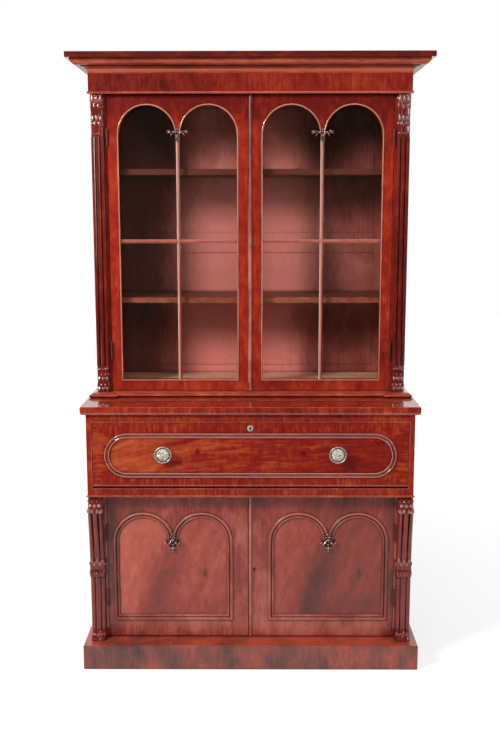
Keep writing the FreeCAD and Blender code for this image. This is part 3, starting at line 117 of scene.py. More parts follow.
class Number:
    """A node's output to calculate with."""

    def __init__(self, socket):
        self.socket = socket

    def maths(self, operation, *others):
        return Number(node(self.socket.id_data, "ShaderNodeMath", enumerate((self, *others)),
                           operation=operation).outputs[0])

    __add__ = partialmethod(maths, "ADD")
    __sub__ = partialmethod(maths, "SUBTRACT")
    __mul__ = partialmethod(maths, "MULTIPLY")
    __pow__ = partialmethod(maths, "POWER")
    __abs__ = partialmethod(maths, "ABSOLUTE")
    __lt__ = partialmethod(maths, "LESS_THAN")
    __gt__ = partialmethod(maths, "GREATER_THAN")
    exp = partialmethod(maths, "EXPONENT")
    at_least = partialmethod(maths, "MAXIMUM")

    def __rsub__(self, other):
        return self * -1 + other

    def spread(self, low, high, bottom=0.0, top=1.0, way="LINEAR"):
        """Goes from bottom to top while the number goes from low to high."""
        return Number(node(self.socket.id_data, "ShaderNodeMapRange", {
            0: self, 1: low, 2: high, 3: bottom, 4: top}, interpolation_type=way).outputs[0])

    def ease(self, low, high, bottom=0.0, top=1.0):
        """The same with soft ends."""
        return self.spread(low, high, bottom, top, "SMOOTHSTEP")


# %% Places and colours
def axes(place):
    """The three coordinates of a place."""
    parts = node(place.id_data, "ShaderNodeSeparateXYZ", {0: place}).outputs
    return [Number(part) for part in parts]


def joined(x, y, z):
    return node(x.socket.id_data, "ShaderNodeCombineXYZ", {0: x, 1: y, 2: z}).outputs[0]


def length(place):
    return Number(node(place.id_data, "ShaderNodeVectorMath", {0: place},
                       operation="LENGTH").outputs["Value"])


def colour(text):
    """sRGB hex to the linear values that a shader takes."""
    parts = [int(text[i:i + 2], 16) / 255 for i in (0, 2, 4)]
    return [p / 12.92 if p <= 0.04045 else ((p + 0.055) / 1.055) ** 2.4 for p in parts] + [1]


def mixed(share, first, second):
    """The first colour, turning into the second as the share goes from 0 to 1."""
    return node(share.socket.id_data, "ShaderNodeMix", {0: share, 6: first, 7: second},
                data_type="RGBA").outputs[2]


def chosen(share, first, second):
    """The first number where the share is 0, the second where it is 1."""
    return Number(node(share.socket.id_data, "ShaderNodeMix", {0: share, 2: first, 3: second}
                       ).outputs[0])


# %% [markdown]
# ## A plain studio
# Polished mahogany is a dark mirror, so what stands round it matters as much as the lamps.
# Here the world is white behind the furniture, grey overhead and dim on the photographer's side,
# and a pale floor in front gives the lower doors their soft pink haze.
# The plain white is for the camera, and for mirror images of what lies behind: it adds no
# other light to the wood.

# %% World
WHITE = (1, 1, 1, 1)
FRONT_GLOW, CEILING_GLOW, BEHIND_GLOW = 0.035, 0.45, 0.35
BEHIND_FROM, BEHIND_FULL, CEILING_FROM, CEILING_FULL = -0.05, 0.25, 0.30, 0.70


def ray_kinds(tree):
    """1 for camera, mirrored and transmitted rays in turn, and 0 for all others."""
    path = node(tree, "ShaderNodeLightPath").outputs
    return [Number(path[f"Is {kind} Ray"]) for kind in ("Camera", "Glossy", "Transmission")]


world = bpy.data.worlds.new("studio_air")
world.use_nodes = True
bpy.context.scene.world = world
tree = world.node_tree
tree.nodes.clear()
seen, glossy, through = ray_kinds(tree)
_, back, up = axes(node(tree, "ShaderNodeTexCoord").outputs["Generated"])
behind = back.spread(BEHIND_FROM, BEHIND_FULL)
above = up.spread(CEILING_FROM, CEILING_FULL)
glow = (above * CEILING_GLOW + FRONT_GLOW).at_least(behind * BEHIND_GLOW)
white = seen.at_least(through).at_least(glossy * behind)
light = node(tree, "ShaderNodeBackground", {"Color": WHITE, "Strength": glow.at_least(white)})
node(tree, "ShaderNodeOutputWorld", {"Surface": light.outputs[0]})

# %% Floor
FRONT_EDGE, FULL_FROM, FAR = -2.4, -1.7, 12
PAPER_GREY, SEEN_GREY = (0.8, 0.8, 0.8, 1), (0.35, 0.35, 0.35, 1)
NEAR_FROM, NEAR_TO, NEAR_WHITE = 0.6, 4.0, 0.72
mesh = bpy.data.meshes.new("studio_floor")
mesh.from_pydata([(-FAR, FRONT_EDGE, 0), (FAR, FRONT_EDGE, 0), (FAR, FAR, 0), (-FAR, FAR, 0)],
                 [], [range(4)])
floor = placed("studio_floor", mesh)
paper = bpy.data.materials.new("white_paper")
paper.use_nodes = True
tree = paper.node_tree
tree.nodes.clear()
seen, glossy, through = ray_kinds(tree)
place = node(tree, "ShaderNodeTexCoord").outputs["Object"]
front = axes(place)[1].spread(FRONT_EDGE, FULL_FROM)
seen = seen.at_least(glossy * front).at_least(through)
# Painted shadow: the paper glows less near the furniture, rising to full white 4 m out.
white = length(place).spread(NEAR_FROM, NEAR_TO, NEAR_WHITE)
lit = node(tree, "ShaderNodeBsdfDiffuse", {"Color": mixed(seen, PAPER_GREY, SEEN_GREY)})
glow = node(tree, "ShaderNodeEmission", {"Color": WHITE, "Strength": seen * white})
both = node(tree, "ShaderNodeAddShader", {0: lit.outputs[0], 1: glow.outputs[0]})
node(tree, "ShaderNodeOutputMaterial", {"Surface": both.outputs[0]})
floor.data.materials.append(paper)

# %% Softboxes
def softbox(name, place, aim, wide, high, watts):
    """A rectangular studio lamp at `place`, turned towards `aim`."""
    lamp = bpy.data.lights.new(name, "AREA")
    lamp.shape, lamp.size, lamp.size_y, lamp.energy = "RECTANGLE", wide, high, watts
    thing = placed(name, lamp)
    thing.location = place
    thing.rotation_euler = (Vector(aim) - Vector(place)).to_track_quat("-Z", "Y").to_euler()
    print(name, watts, "W")


softbox("softbox_left", (-3.2, -3.1, 3.5), (0, 0, 1.2), 0.9, 1.3, 242)
softbox("softbox_right", (3.2, -2.8, 2.0), (0, 0, 1.0), 0.8, 1.6, 42)
softbox("softbox_top", (0.0, -3.4, 3.9), (0, 0, 0.9), 2.0, 0.8, 30)

# %% [markdown]
# ## French-polished mahogany
# Cuban mahogany under shellac shows four things at once: a mottle of blotches as wide as a thumb,
# fine streaks along the grain, short dark pores, and a clear gloss over them all.
# A photograph could be wrapped round it, but a recipe on Object coordinates has no seams
# and runs on through mouldings. Each recipe stretches noise along the way its veneer was laid.

# %% Noise and ramps
def stretched(place, grain, across, along):
    """Object coordinates scaled so that noise runs out along the grain."""
    scale = [along if letter == grain else across for letter in "xyz"]
    return node(place.id_data, "ShaderNodeVectorMath", {0: place, 1: scale},
                operation="MULTIPLY").outputs[0]


def noise(place, detail=3.0, roughness=0.55, distortion=0.0, scale=1.0):
    return Number(node(place.id_data, "ShaderNodeTexNoise", {
        "Vector": place, "Scale": scale, "Detail": detail, "Roughness": roughness,
        "Distortion": distortion}).outputs[0])


def wavering(place, scale, reach):
    """Place pushed sideways by slow noise, as growth rings wander."""
    tree = place.id_data
    push = node(tree, "ShaderNodeTexNoise", {"Vector": place, "Scale": scale, "Detail": 2.0})
    centred = node(tree, "ShaderNodeVectorMath", {0: push.outputs["Color"], 1: (0.5,) * 3},
                   operation="SUBTRACT").outputs[0]
    return node(tree, "ShaderNodeVectorMath", {0: centred, 1: (reach,) * 3, 2: place},
                operation="MULTIPLY_ADD").outputs[0]


def ramp(value, stops):
    """Colours set at rising values, and blended between them."""
    made = node(value.socket.id_data, "ShaderNodeValToRGB", {0: value})
    bands = made.color_ramp.elements
    for number, (at, shade) in enumerate(stops):
        band = bands[number] if number < 2 else bands.new(at)
        band.position, band.color = at, colour(shade)
    return made.outputs[0]


def corners(tree, distance):
    """1 on open ground, less in corners and hollows."""
    return Number(node(tree, "ShaderNodeAmbientOcclusion", {"Distance": distance}, samples=4
                       ).outputs["AO"])


# %% Wood recipe
WAVER_SCALE, WAVER_REACH = 4.0, 0.03
DEEP_AT, MIDDLE_AT, BRIGHT_AT = 0.20, 0.50, 0.80
PORE_FROM, PORE_FULL, PORE_SHARE, PORE_DEPTH, PORE_TONE = 0.58, 0.70, 0.30, 0.0002, "2a0a06"
# Painted shade in corners and hollows: its reach, where it is full, where it ends, and its tone.
SHADE_REACH, SHADE_FULL, SHADE_NONE, SHADE_TONE = 0.014, 0.35, 0.85, "1c0705"
POLISH_IOR, WOOD_GLINT = 1.65, 0.08


def new_recipe(name):
    """A material, its shader and the Object coordinates that its recipe starts from."""
    material = bpy.data.materials.new(name)
    material.use_nodes = True
    tree = material.node_tree
    return (material, tree.nodes["Principled BSDF"],
            node(tree, "ShaderNodeTexCoord").outputs["Object"])


def grain_value(place, grain, blotch, streak, cloud, size):
    """Mottle, streaks and slow clouds added up round 0.5; the weights set how much of each."""
    return (noise(stretched(place, grain, size, size / 1.8), 4.0, 0.6, 0.25) * blotch
            + noise(stretched(place, grain, 150, 16), 4.0, 0.6) * streak
            + noise(stretched(place, grain, 6.5, 4.0), 2.0) * cloud
            + (0.5 - 0.5 * (blotch + streak + cloud)))


def mahogany(name, grain, tones, blotch=0.75, streak=0.5, cloud=0.5, size=34, gloss=0.05,
             coat=1.0, corner_shade=0.55, highlight_and_wear="c89484", shifts=(), figure=None):
    """Tones go from deep to bright. Each shift is (axis, low, high, change): the tone changes
    slowly along that axis."""
    material, shader, place = new_recipe(name)
    tree = place.id_data
    bent = wavering(place, WAVER_SCALE, WAVER_REACH)
    value = (figure(place, bent) if figure
             else grain_value(bent, grain, blotch, streak, cloud, size))
    for axis, low, high, change in shifts:
        value += axes(place)["XYZ".index(axis)].ease(low, high, 0.0, change)
    shade = ramp(value, zip((DEEP_AT, MIDDLE_AT, BRIGHT_AT), tones.split()))
    pore = noise(stretched(place, grain, 900, 42), 1.0)
    shade = mixed(pore.spread(PORE_FROM, PORE_FULL, 0.0, PORE_SHARE), shade, colour(PORE_TONE))
    # Painted shade: the tone darkens in corners and hollows, found by ambient occlusion.
    grime_and_shade = corners(tree, SHADE_REACH).spread(SHADE_FULL, SHADE_NONE, corner_shade, 0.0)
    shade = mixed(grime_and_shade, shade, colour(SHADE_TONE))
    wear_and_highlight = Number(node(tree, "ShaderNodeAttribute", attribute_name="wear_and_highlight").outputs["Fac"])
    hollow = node(tree, "ShaderNodeBump", {"Strength": 0.12, "Distance": PORE_DEPTH,
                                           "Height": 1.0 - pore})
    # The pale tone on crests is partly polish rubbed off and partly painted highlight.
    fill(shader, {"Base Color": mixed(wear_and_highlight, shade, colour(highlight_and_wear)),
                  "Roughness": value.spread(0.3, 0.7, 0.46, 0.34), "Normal": hollow.outputs[0],
                  "Coat Weight": coat, "Coat Roughness": gloss, "Coat IOR": POLISH_IOR,
                  "Specular IOR Level": WOOD_GLINT})
    print(name, "grain along", grain)
    return material


def finish_node(material, names):
    """Gives CAD nodes a material by their slots; their meshes stay as they are. A star in a
    name stands for left and right."""
    for name in names.split():
        for side in ("left", "right"):
            for place in nodes[name.replace("*", side)].material_slots:
                place.material = material


# %% Polished rails, stiles and boards
finish_node(mahogany("polished_mahogany_upright", "z", "640f08 942414 bc4626"),
            "face_stiles lower_*_side bookcase_*_side")
# Painted shade: the doors darken towards the top, in the cornice's shadow.
finish_node(mahogany("upper_door_mahogany", "z", "640f08 942414 bc4626",
                     shifts=[("Z", 1.95, 2.06, -0.30)]),
            "upper_*_door_frame")
finish_node(mahogany("crossbanded_mahogany", "z", "5c0f08 8c2616 b4462a", streak=0.8,
                     size=38), "drawer_rails ledge")
# Painted shade towards the left end, and a painted highlight: the bead along the bottom is paler.
finish_node(mahogany("crossbanded_frieze", "z", "520c08 862012 ac4628", blotch=0.6, size=36,
                     shifts=[("X", 0.2, -0.5, -0.20), ("Z", 2.113, 2.110, 0.3)]), "frieze")
finish_node(mahogany("polished_mahogany_level", "x", "68160c 9a301c c05a34"),
            "waist_moulding")
# Painted highlights and shade: pale and dark bands across the cove and ovolo.
finish_node(mahogany("cornice_mahogany", "x", "4a0e08 9c3820 cc6444", blotch=0.4, streak=0.4,
                     gloss=0.2, coat=0.5, shifts=[
                         ("Z", 2.174, 2.182, 0.36), ("Z", 2.186, 2.191, -0.42),
                         ("Z", 2.1983, 2.1996, 0.12)]), "cornice")
finish_node(mahogany("dark_cap_mahogany", "x", "3a0d08 5e170f 8a3020"), "cornice_cap")
finish_node(mahogany("rubbed_bead_mahogany", "z", "6e2a1e 944430 b46a50", corner_shade=0.4),
            "lower_door_astragal drawer_section_beads")
# Painted shade: the bead darkens towards the top.
finish_node(mahogany("meeting_bead_mahogany", "z", "6a241c a05a4e cc9488", corner_shade=0.4,
                     gloss=0.3, shifts=[("Z", 1.50, 2.02, -0.38)]), "upper_door_astragal")

# %% Carved and moulded wood
carved = mahogany("carved_mahogany", "z", "3e0a07 6a180f 8c2e1c", corner_shade=0.8)
finish_node(carved, "consoles reeded_columns column_capitals column_bases "
            "lower_*_door_moulding fall_moulding")
carved_gloss = mahogany("carved_sprig_mahogany", "z", "2e0806 4c100b 6a2014", corner_shade=1.0,
                        gloss=0.12, highlight_and_wear="e8d4ca")
console_wood = mahogany("console_mahogany", "z", "3e0a07 6a180f 8c2e1c", corner_shade=0.8, coat=0.6)
bead_wood = mahogany("glazing_bead_mahogany", "z", "7c3018 a24c28 bc683c", corner_shade=0.7,
                     highlight_and_wear="d0aea0")
bar_wood = mahogany("glazing_bar_mahogany", "z", "6e1c10 a0341a bc5028", corner_shade=0.8,
                    highlight_and_wear="ecd0c0")
finish_node(bar_wood, "upper_*_door_glazing_bars")
ring_wood = mahogany("ring_mahogany", "x", "4a0d08 7c2014 a0402a", corner_shade=0.9, highlight_and_wear="d09c88")

# %% [markdown]
# ## Figured veneers
# The fall is one leaf of flame veneer with crossbanding mitred round it, the panels below are two
# successive leaves of the same crotch, and the plinth is a darker, streaky veneer.
# A figured recipe is still noise, but its coordinates are bent first, so the streaks follow the
# flame, and dark spots are added where a branch left a knot.

# %% Helpers for figure
def bump_at(offset, width):
    """1 at an offset of 0, falling to 0 over about two widths."""
    return ((offset * (1 / width)) ** 2.0 * -1).exp()


def knot(x, z, at_x, at_z, width, height):
    """A dark eye, longer up the grain than across."""
    return (((x - at_x) * (1 / width)) ** 2.0 * -1 - ((z - at_z) * (1 / height)) ** 2.0).exp()


# %% Flame of the fall
fall_low, fall_high = (Vector(corner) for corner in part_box("fall_board"))
ring_low, ring_high = (Vector(corner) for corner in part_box("fall_moulding"))
ring_radius = (ring_high.z - ring_low.z) / 2
ring_middle = (ring_high.z + ring_low.z) / 2
# Each spot: its place across and up, half width, half height, and how dark it is.
FALL_SPOTS = ((-0.192, 0.821, 0.007, 0.011, 0.42), (0.196, 0.818, 0.009, 0.007, 0.35),
              (0.038, 0.820, 0.006, 0.005, 0.35), (0.225, 0.838, 0.007, 0.005, -0.3))
print("ring of the fall", round(ring_high.x * 2, 3), "m long, radius", round(ring_radius, 4))


def flame_leaf(place, bent):
    """Long flames that bend down towards the left end, paler there, with small dark spots."""
    x, y, z = axes(bent)
    swept = (x * -4.2 - 2.3).exp() * 0.10 + z
    streaks = noise(joined(x * 13.0, y, swept * 120.0), 5.0, 0.62)
    flames = noise(joined(x * 4.0, y, swept * 26.0), 3.0, 0.55, 0.8)
    value = (streaks * 0.6 + flames * 0.65 + noise(stretched(bent, "z", 60, 34)) * 0.3
             - 0.28)
    for *spot, dark in FALL_SPOTS:
        value -= knot(x, z, *spot) * dark
    x = axes(place)[0]
    return value + x.ease(-0.50, 0.50, 0.10, -0.06) + x.ease(-0.44, -0.20, 0.11, 0.0)


def mitred_banding(place, bent):
    """Grain that runs up along the top and bottom and across at the ends, mitred between."""
    x, _, z = axes(place)
    middle = (fall_low.z + fall_high.z) / 2
    mitre = fall_high.x - abs(x) < (fall_high.z - middle) - abs(z - middle)
    band = chosen(mitre, grain_value(bent, "z", 0.55, 0.6, 0.3, 55),
                  grain_value(bent, "x", 0.55, 0.6, 0.3, 45))
    return band + mitre * x.ease(-0.56, -0.3, 0.07, 0.0)


def fall_figure(place, bent):
    """The flame leaf inside the ring moulding, and banding outside it."""
    x, _, z = axes(place)
    past = (abs(x) - (ring_high.x - ring_radius)).at_least(0.0)
    outside = length(joined(past, 0.0, z - ring_middle)) > ring_radius - 0.008
    return chosen(outside, flame_leaf(place, bent), mitred_banding(place, bent))


finish_node(mahogany("flame_veneer", "x", "540b07 861e12 b4522c", figure=fall_figure),
            "fall_board")


# %% Crotch veneer of the lower panels
def crotch_figure(centre, tone):
    """Soft streaks lean right, a dark feather hangs from the drop, and a small knot sits right."""

    def figure(place, bent):
        x, _, z = axes(bent)
        x = x - centre
        lean = z * -0.33 + x
        patch = noise(stretched(place, "z", 9, 6), 2.0)
        streaks = noise(joined(lean * 62.0, patch * 4.0, z * 9.0), 4.0, 0.6)
        flames = noise(joined(lean * 15.0, 0.0, z * 5.0), 3.0, 0.5, 0.3)
        mottle = noise(stretched(bent, "z", 40, 24), 3.0)
        off = x + z * -0.36 + 0.155
        feather = bump_at(off, 0.055) * z.ease(0.50, 0.34)
        lower = z.ease(0.34, 0.15) * off.ease(-0.03, 0.06)
        return (streaks * 0.20 + flames * 0.32 + mottle * 0.32 + (tone - 0.42)
                - feather * 0.24 - lower * 0.10 + x.ease(-0.20, 0.06, 0.13, 0.0)
                - knot(x, z, 0.118, 0.343, 0.008, 0.018) * 0.35)

    return figure


for door, tone in (("lower_left_door", 0.56), ("lower_right_door", 0.42)):
    low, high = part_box(door + "_panel")
    finish_node(mahogany(door + "_crotch_veneer", "z", "4e1e18 8a3224 b65a46", gloss=0.32,
                         coat=0.6, figure=crotch_figure((low[0] + high[0]) / 2, tone)),
                door + "_panel")
# Painted shade at the outer ends beside the consoles, and a painted reflection of the floor: paler
# towards the bottom.
door_wood = mahogany("lower_door_mahogany", "z", "4a1c16 842e22 a85a4a", blotch=0.7,
                     gloss=0.32, coat=0.6, cloud=0.7, size=24, corner_shade=0.9, highlight_and_wear="c07c6a", shifts=[
                         ("X", -0.44, -0.53, -0.20), ("X", 0.44, 0.53, -0.18),
                         ("Z", 0.35, 0.12, 0.14)])
finish_node(door_wood, "lower_*_door_frame")
# Painted light: the plinth's top surface is paler.
finish_node(mahogany("plinth_veneer", "z", "3c1c19 743428 ac4430", blotch=0.9, cloud=0.9,
                     size=16, gloss=0.2, coat=0.75, shifts=[("Z", 0.0915, 0.0925, 0.2)]), "plinth")

# %% Woods inside
panel_core = sum(corner[1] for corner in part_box("bookcase_back_panels")) / 2


def lit_pool_figure(place, bent):
    """Plain wood with a painted pool of light on the front of the panels: painted shade at the
    left end, and less pale to the right, at the top and in the lowest bay.
    """
    x, y, z = axes(place)
    painted_light = (x.ease(-0.44, -0.20) * x.ease(0.06, 0.38, 1.0, 0.40)
            * z.ease(1.98, 1.54, 0.50, 1.0) * z.ease(1.24, 1.38, 0.72, 1.0) * (y < panel_core))
    return grain_value(bent, "z", 0.3, 0.2, 0.3, 14) + painted_light * 0.62 - 0.13


finish_node(mahogany("inside_mahogany", "z", "3a1a15 863c32 e08478", gloss=0.4, coat=0.3,
                     corner_shade=0.95, figure=lit_pool_figure),
            "bookcase_back_frame bookcase_back_panels bookcase_ceiling")
# Painted shade on the shelves' top surfaces.
finish_node(mahogany("inside_mahogany_level", "x", "6a3020 9c5038 bc7454", gloss=0.4,
                     coat=0.3, shifts=[("Z", 1.3636, 1.3648, -0.5)]), "bookcase_shelves")
# Painted light: the case floor is paler than the other inside wood.
finish_node(mahogany("case_floor_mahogany", "x", "cc8c6c e8ac8a f6ccae", gloss=0.4,
                     coat=0.3, corner_shade=0.1), "bookcase_floor")
finish_node(mahogany("carcass_wood", "x", "94603c b07c52 c4946a", coat=0.0, blotch=0.4),
            "cupboard_floor cupboard_shelf dustboard lower_back_boards drawer_runners "
            "secretaire_drawer_box")
finish_node(mahogany("fitment_wood", "x", "8a4a28 a9663c c48552", coat=0.3, blotch=0.5),
            "pigeonhole_fitment small_drawer_1 small_drawer_2 small_drawer_3 small_drawer_4")

# %% [markdown]
# ## Brass, leather and glass
# The hinges have toned down to the colour of the wood beside them, while the knobs are rubbed
# pale by hands. The glass is thin, a little green and not quite flat.

# %% Metal
def brass(name, light_tone, dark_tone, rough, metal=1.0):
    """Tarnish in small clouds, with dirt left in the hollows."""
    material, shader, place = new_recipe(name)
    tarnish = noise(place, 5.0, 0.5, 0.0, 160.0)
    grime_and_shade = corners(place.id_data, 0.004).spread(0.40, 0.90, 0.85, 0.0)
    tone_marks = mixed(grime_and_shade, ramp(tarnish, ((0.35, dark_tone), (0.65, light_tone))), colour("1c140c"))
    fill(shader, {"Base Color": tone_marks, "Roughness": tarnish.spread(0.0, 1.0, rough, rough + 0.2),
                  "Metallic": metal})
    return material


finish_node(brass("toned_hinge_brass", "742418", "4c160e", 0.45, 0.3),
            "cabinet_hinges upper_*_door_hinges lower_*_door_hinges")
lacquered = brass("aged_brass", "9a7c4c", "4a3820", 0.35)
finish_node(lacquered, "shelf_pegs fall_hinges")
old_brass = brass("old_knob_brass", "dcd4c6", "8c8272", 0.32, 0.6)
finish_node(old_brass, "fall_knobs fall_brasswork")
# Painted shade: a near-black finish for the keyholes, standing for the shade inside the holes.
keyhole_shade = brass("painted_keyhole_shade", "1c1410", "0c0806", 0.5, 0.3)

# %% Leather and glass
leather, shader, place = new_recipe("green_leather")
tree = place.id_data
pebbles = node(tree, "ShaderNodeTexVoronoi", {"Vector": place, "Scale": 900.0}).outputs[0]
raised = node(tree, "ShaderNodeBump", {"Strength": 0.3, "Distance": 0.0004, "Height": pebbles})
tone_marks = noise(place, 6.0, 0.5, 0.0, 9.0)
fill(shader, {"Base Color": ramp(tone_marks, ((0.35, "1f3324"), (0.68, "3c5538"))),
              "Normal": raised.outputs[0], "Roughness": 0.55})
finish_node(leather, "fall_leather")

glass, shader, place = new_recipe("old_window_glass")
ripple = noise(place, 1.0, 0.5, 0.0, 7.0)
waves = node(place.id_data, "ShaderNodeBump", {"Strength": 0.4, "Distance": 0.002,
                                               "Height": ripple})
fill(shader, {"Base Color": ramp(ripple, ((0.3, "22261f"), (0.7, "2b2d26"))),
              "Normal": waves.outputs[0], "Roughness": 0.02, "Alpha": 0.10})
finish_node(glass, "upper_*_door_glass")
print(len(bpy.data.materials), "materials")

# %% [markdown]
# ## Carving as a relief on a reeded post
# The capitals, column bases and consoles are single blocks, reeded first and then cut with
# rows of leaves whose tips curl forward. They could be sculpted by hand in Blender,
# but a carver works from a drawing: a section at each height, and leaves set out on it.
# Here the block's skin is a grid, and each leaf lifts the grid along its normal.

# %% Mesh helpers
MM = 0.001
MERGE = 0.00002


def mark_wear_and_highlight(mesh, values):
    """How pale each point is, from 0 to 1: partly polish rubbed off, partly painted highlight."""
    mesh.attributes.new("wear_and_highlight", "FLOAT", "POINT").data.foreach_set("value", list(values))


def riding_piece(name, mesh, body, crease, merge=False):
    """Turns a mesh's faces outwards and makes it a smooth piece that rides on a body."""
    work = bmesh.new()
    work.from_mesh(mesh)
    if merge:
        bmesh.ops.remove_doubles(work, verts=work.verts, dist=MERGE)
    bmesh.ops.recalc_face_normals(work, faces=work.faces)
    work.to_mesh(mesh)
    work.free()
    mesh.shade_smooth()
    mesh.set_sharp_from_angle(angle=math.radians(crease))
    piece = placed(name, mesh)
    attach(piece, body)
    print(name, len(mesh.polygons), "faces,", [round(v / MM) for v in piece.dimensions], "mm")
    return piece


def new_piece(name, body, material, part, crease=42):
    """A piece from a part's points in millimetres, faces, and pale shares if it has any: partly
    wear, partly painted highlight.
    """
    points, faces, wear_and_highlight = part
    mesh = bpy.data.meshes.new(name)
    mesh.from_pydata((np.asarray(points, float) * MM).tolist(), [], faces)
    if len(wear_and_highlight):
        mark_wear_and_highlight(mesh, wear_and_highlight)
    mesh.materials.append(material)
    return riding_piece(name, mesh, body, crease, merge=True)


def tube_faces(rings, around, capped=True):
    """Quads between closed rings of points, and a face over each end if capped."""
    faces = [(ring * around + i, ring * around + (i + 1) % around,
              (ring + 1) * around + (i + 1) % around, (ring + 1) * around + i)
             for ring in range(rings - 1) for i in range(around)]
    ends = (0, (rings - 1) * around) if capped else ()
    return faces + [tuple(range(end, end + around)) for end in ends]


def gathered(parts):
    """Several parts as one."""
    points, faces, wear_and_highlight = [], [], []
    for some, skin, tone_marks in parts:
        faces += [tuple(i + len(points) for i in face) for face in skin]
        points += list(some)
        wear_and_highlight += list(tone_marks)
    return points, faces, wear_and_highlight


# %% Section and leaves
REED_EDGE, WALL_SHARE, VALLEY_CUT, SIDE_CROWN = 0.40, 0.52, 0.30, 0.93
WIDEST, CURL_AT, CURL_SPAN, VEIN_CUT, VEIN_WIDTH = 0.7, 0.80, 0.13, 0.30, 0.16
CREST_WEAR_SHEEN_SHARE, CREST_WEAR_SHEEN_FROM, CREST_WEAR_SHEEN_OVER = 0.35, 2.4, 3.0
REED_POINTS, SIDE_POINTS = 15, 6


def reeded_outline(half, reach, reeding):
    """One section seen from above, from the left back edge round to the right back edge."""
    edge, start, valley = half * REED_EDGE, reach * WALL_SHARE, reach * (1 - VALLEY_CUT * reeding)
    side_crown = reach * SIDE_CROWN
    turn = np.linspace(0, math.pi, REED_POINTS)
    straight = np.linspace(0, 1, SIDE_POINTS)[:-1]
    x, y = [-half + straight * 0], [start * straight]
    for left, right, near, far, crown in ((-half, -edge, start, valley, side_crown),
                                          (-edge, edge, valley, valley, reach),
                                          (edge, half, valley, start, side_crown)):
        middle = (near + far) / 2
        x.append((left + right) / 2 - np.cos(turn[:-1]) * (right - left) / 2)
        y.append(near + (far - near) * turn[:-1] / math.pi + np.sin(turn[:-1]) * (crown - middle))
    return (np.concatenate((*x, half + straight * 0, [half])),
            np.concatenate((*y, start * (1 - straight), [0.0])))


def leaf_relief(u, v, leaves):
    """Height of the carving at u (round the block) and v (up it), the highest leaf winning."""
    height = np.zeros_like(u)
    for centre, root, tip, width, swell, curl in leaves:
        t = (v - root) / (tip - root)
        inside = (t > 0) & (t < 1)
        t = np.clip(t, 1e-4, 1 - 1e-4)
        body = np.where(t < WIDEST, 0.30 + 0.70 * np.sin(t / WIDEST * math.pi / 2),
                        np.sqrt(np.clip(1 - ((t - WIDEST) / (1 - WIDEST)) ** 2, 0, 1)))
        q = np.clip(np.abs(u - centre) / (width / 2 * body + 1e-6), 0, 1)
        rounded = np.sqrt(1 - q ** 2)
        lift = swell * (0.35 + 0.65 * t) + curl * np.exp(-((t - CURL_AT) / CURL_SPAN) ** 2)
        vein = VEIN_CUT * swell * np.exp(-(q / VEIN_WIDTH) ** 2) * (1 - t ** 3)
        height = np.where(inside, np.maximum(height, lift * rounded ** 0.8 - vein), height)
    return height


def carved_block(centre_x, wall_y, low, high, half, reach, step, stations, leaves):
    """One carved block against a wall at wall_y. Each station is a share of the height, then
    shares of the half width and of the reach, then how deep the reeds are cut."""
    levels = np.arange(0, high - low + step / 2, step)
    shares = np.array(stations, float)
    at = shares[:, 0] * (high - low)
    wide, deep, reeding = (np.interp(levels, at, shares[:, k]) for k in (1, 2, 3))
    soft = np.ones(3) / 3
    wide, deep = (np.convolve(np.pad(s, 1, mode="edge"), soft, "valid") for s in (wide, deep))
    points, wear_and_highlight = [], []
    for level, w, d, r in zip(levels, wide, deep, reeding):
        x, y = reeded_outline(half * w, reach * d, r)
        u = np.concatenate(([0], np.cumsum(np.hypot(np.diff(x), np.diff(y)))))
        u -= u[-1] / 2
        tangent = np.stack((np.gradient(x), np.gradient(y)))
        tangent /= np.hypot(*tangent) + 1e-9
        fade = np.clip(y / 3, 0, 1) * (0.35 + 0.65 * np.clip(y / (reach * d * 0.9), 0, 1) ** 2)
        lift = leaf_relief(u, np.full_like(u, level), leaves) * fade
        points.append(np.stack((centre_x + x - tangent[1] * lift,
                                wall_y - y - tangent[0] * lift,
                                np.full_like(x, low + level)), axis=1))
        # Leaf crests turn pale as they lift: partly wear, partly painted highlight.
        wear_and_highlight.append(CREST_WEAR_SHEEN_SHARE * np.clip((lift - CREST_WEAR_SHEEN_FROM) / CREST_WEAR_SHEEN_OVER, 0, 1))
    return (np.concatenate(points), tube_faces(len(points), len(points[0])),
            np.concatenate(wear_and_highlight))


def carved_pair(name, material, **block):
    """The same block at both ends of the front, in one piece."""
    points, faces, wear_and_highlight = carved_block(**block)
    both = gathered(((points, faces, wear_and_highlight), (points * (-1, 1, 1), faces, wear_and_highlight)))
    return new_piece(name, "cabinet", material, both)


# %% [markdown]
# ### Capitals and column bases
# Each capital carries two tiers of leaves over a collar of round tips, and the base repeats
# them upside down, with pointed tips that hang over the waist moulding.

# %% Capitals and bases
def tier(root, tip, width, swell, curl, centres):
    """A row of equal leaves round the block, from their root's height to their tip's."""
    return [(c, root, tip, width, swell, curl) for c in centres]


COLUMN = dict(centre_x=-555, wall_y=-33, half=24, reach=18, step=1.6)
FRONTS, BETWEEN = (-30, -16, 0, 16, 30), (-23, -8, 8, 23)
COLLAR = (-30, -19, -9.5, 0, 9.5, 19, 30)
capital_leaves = (tier(0, 14, 12, 3.0, 2.0, COLLAR)
                  + tier(4, 56, 13, 2.8, 2.4, BETWEEN) + tier(6, 76, 14, 2.4, 2.6, FRONTS)
                  + tier(50, 122, 12, 2.6, 2.4, BETWEEN) + tier(58, 148, 15, 2.8, 3.0, FRONTS))
capitals = carved_pair(
    "carved_capitals", carved, low=1951, high=2102, leaves=capital_leaves, stations=[
        (0.00, 0.92, 0.88, 0.6), (0.05, 0.94, 0.88, 0.2), (0.10, 0.86, 0.76, 0.4),
        (0.45, 0.88, 0.80, 0.4), (0.85, 0.94, 0.88, 0.3), (1.0, 0.96, 0.88, 0.3)], **COLUMN)
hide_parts("column_capitals")

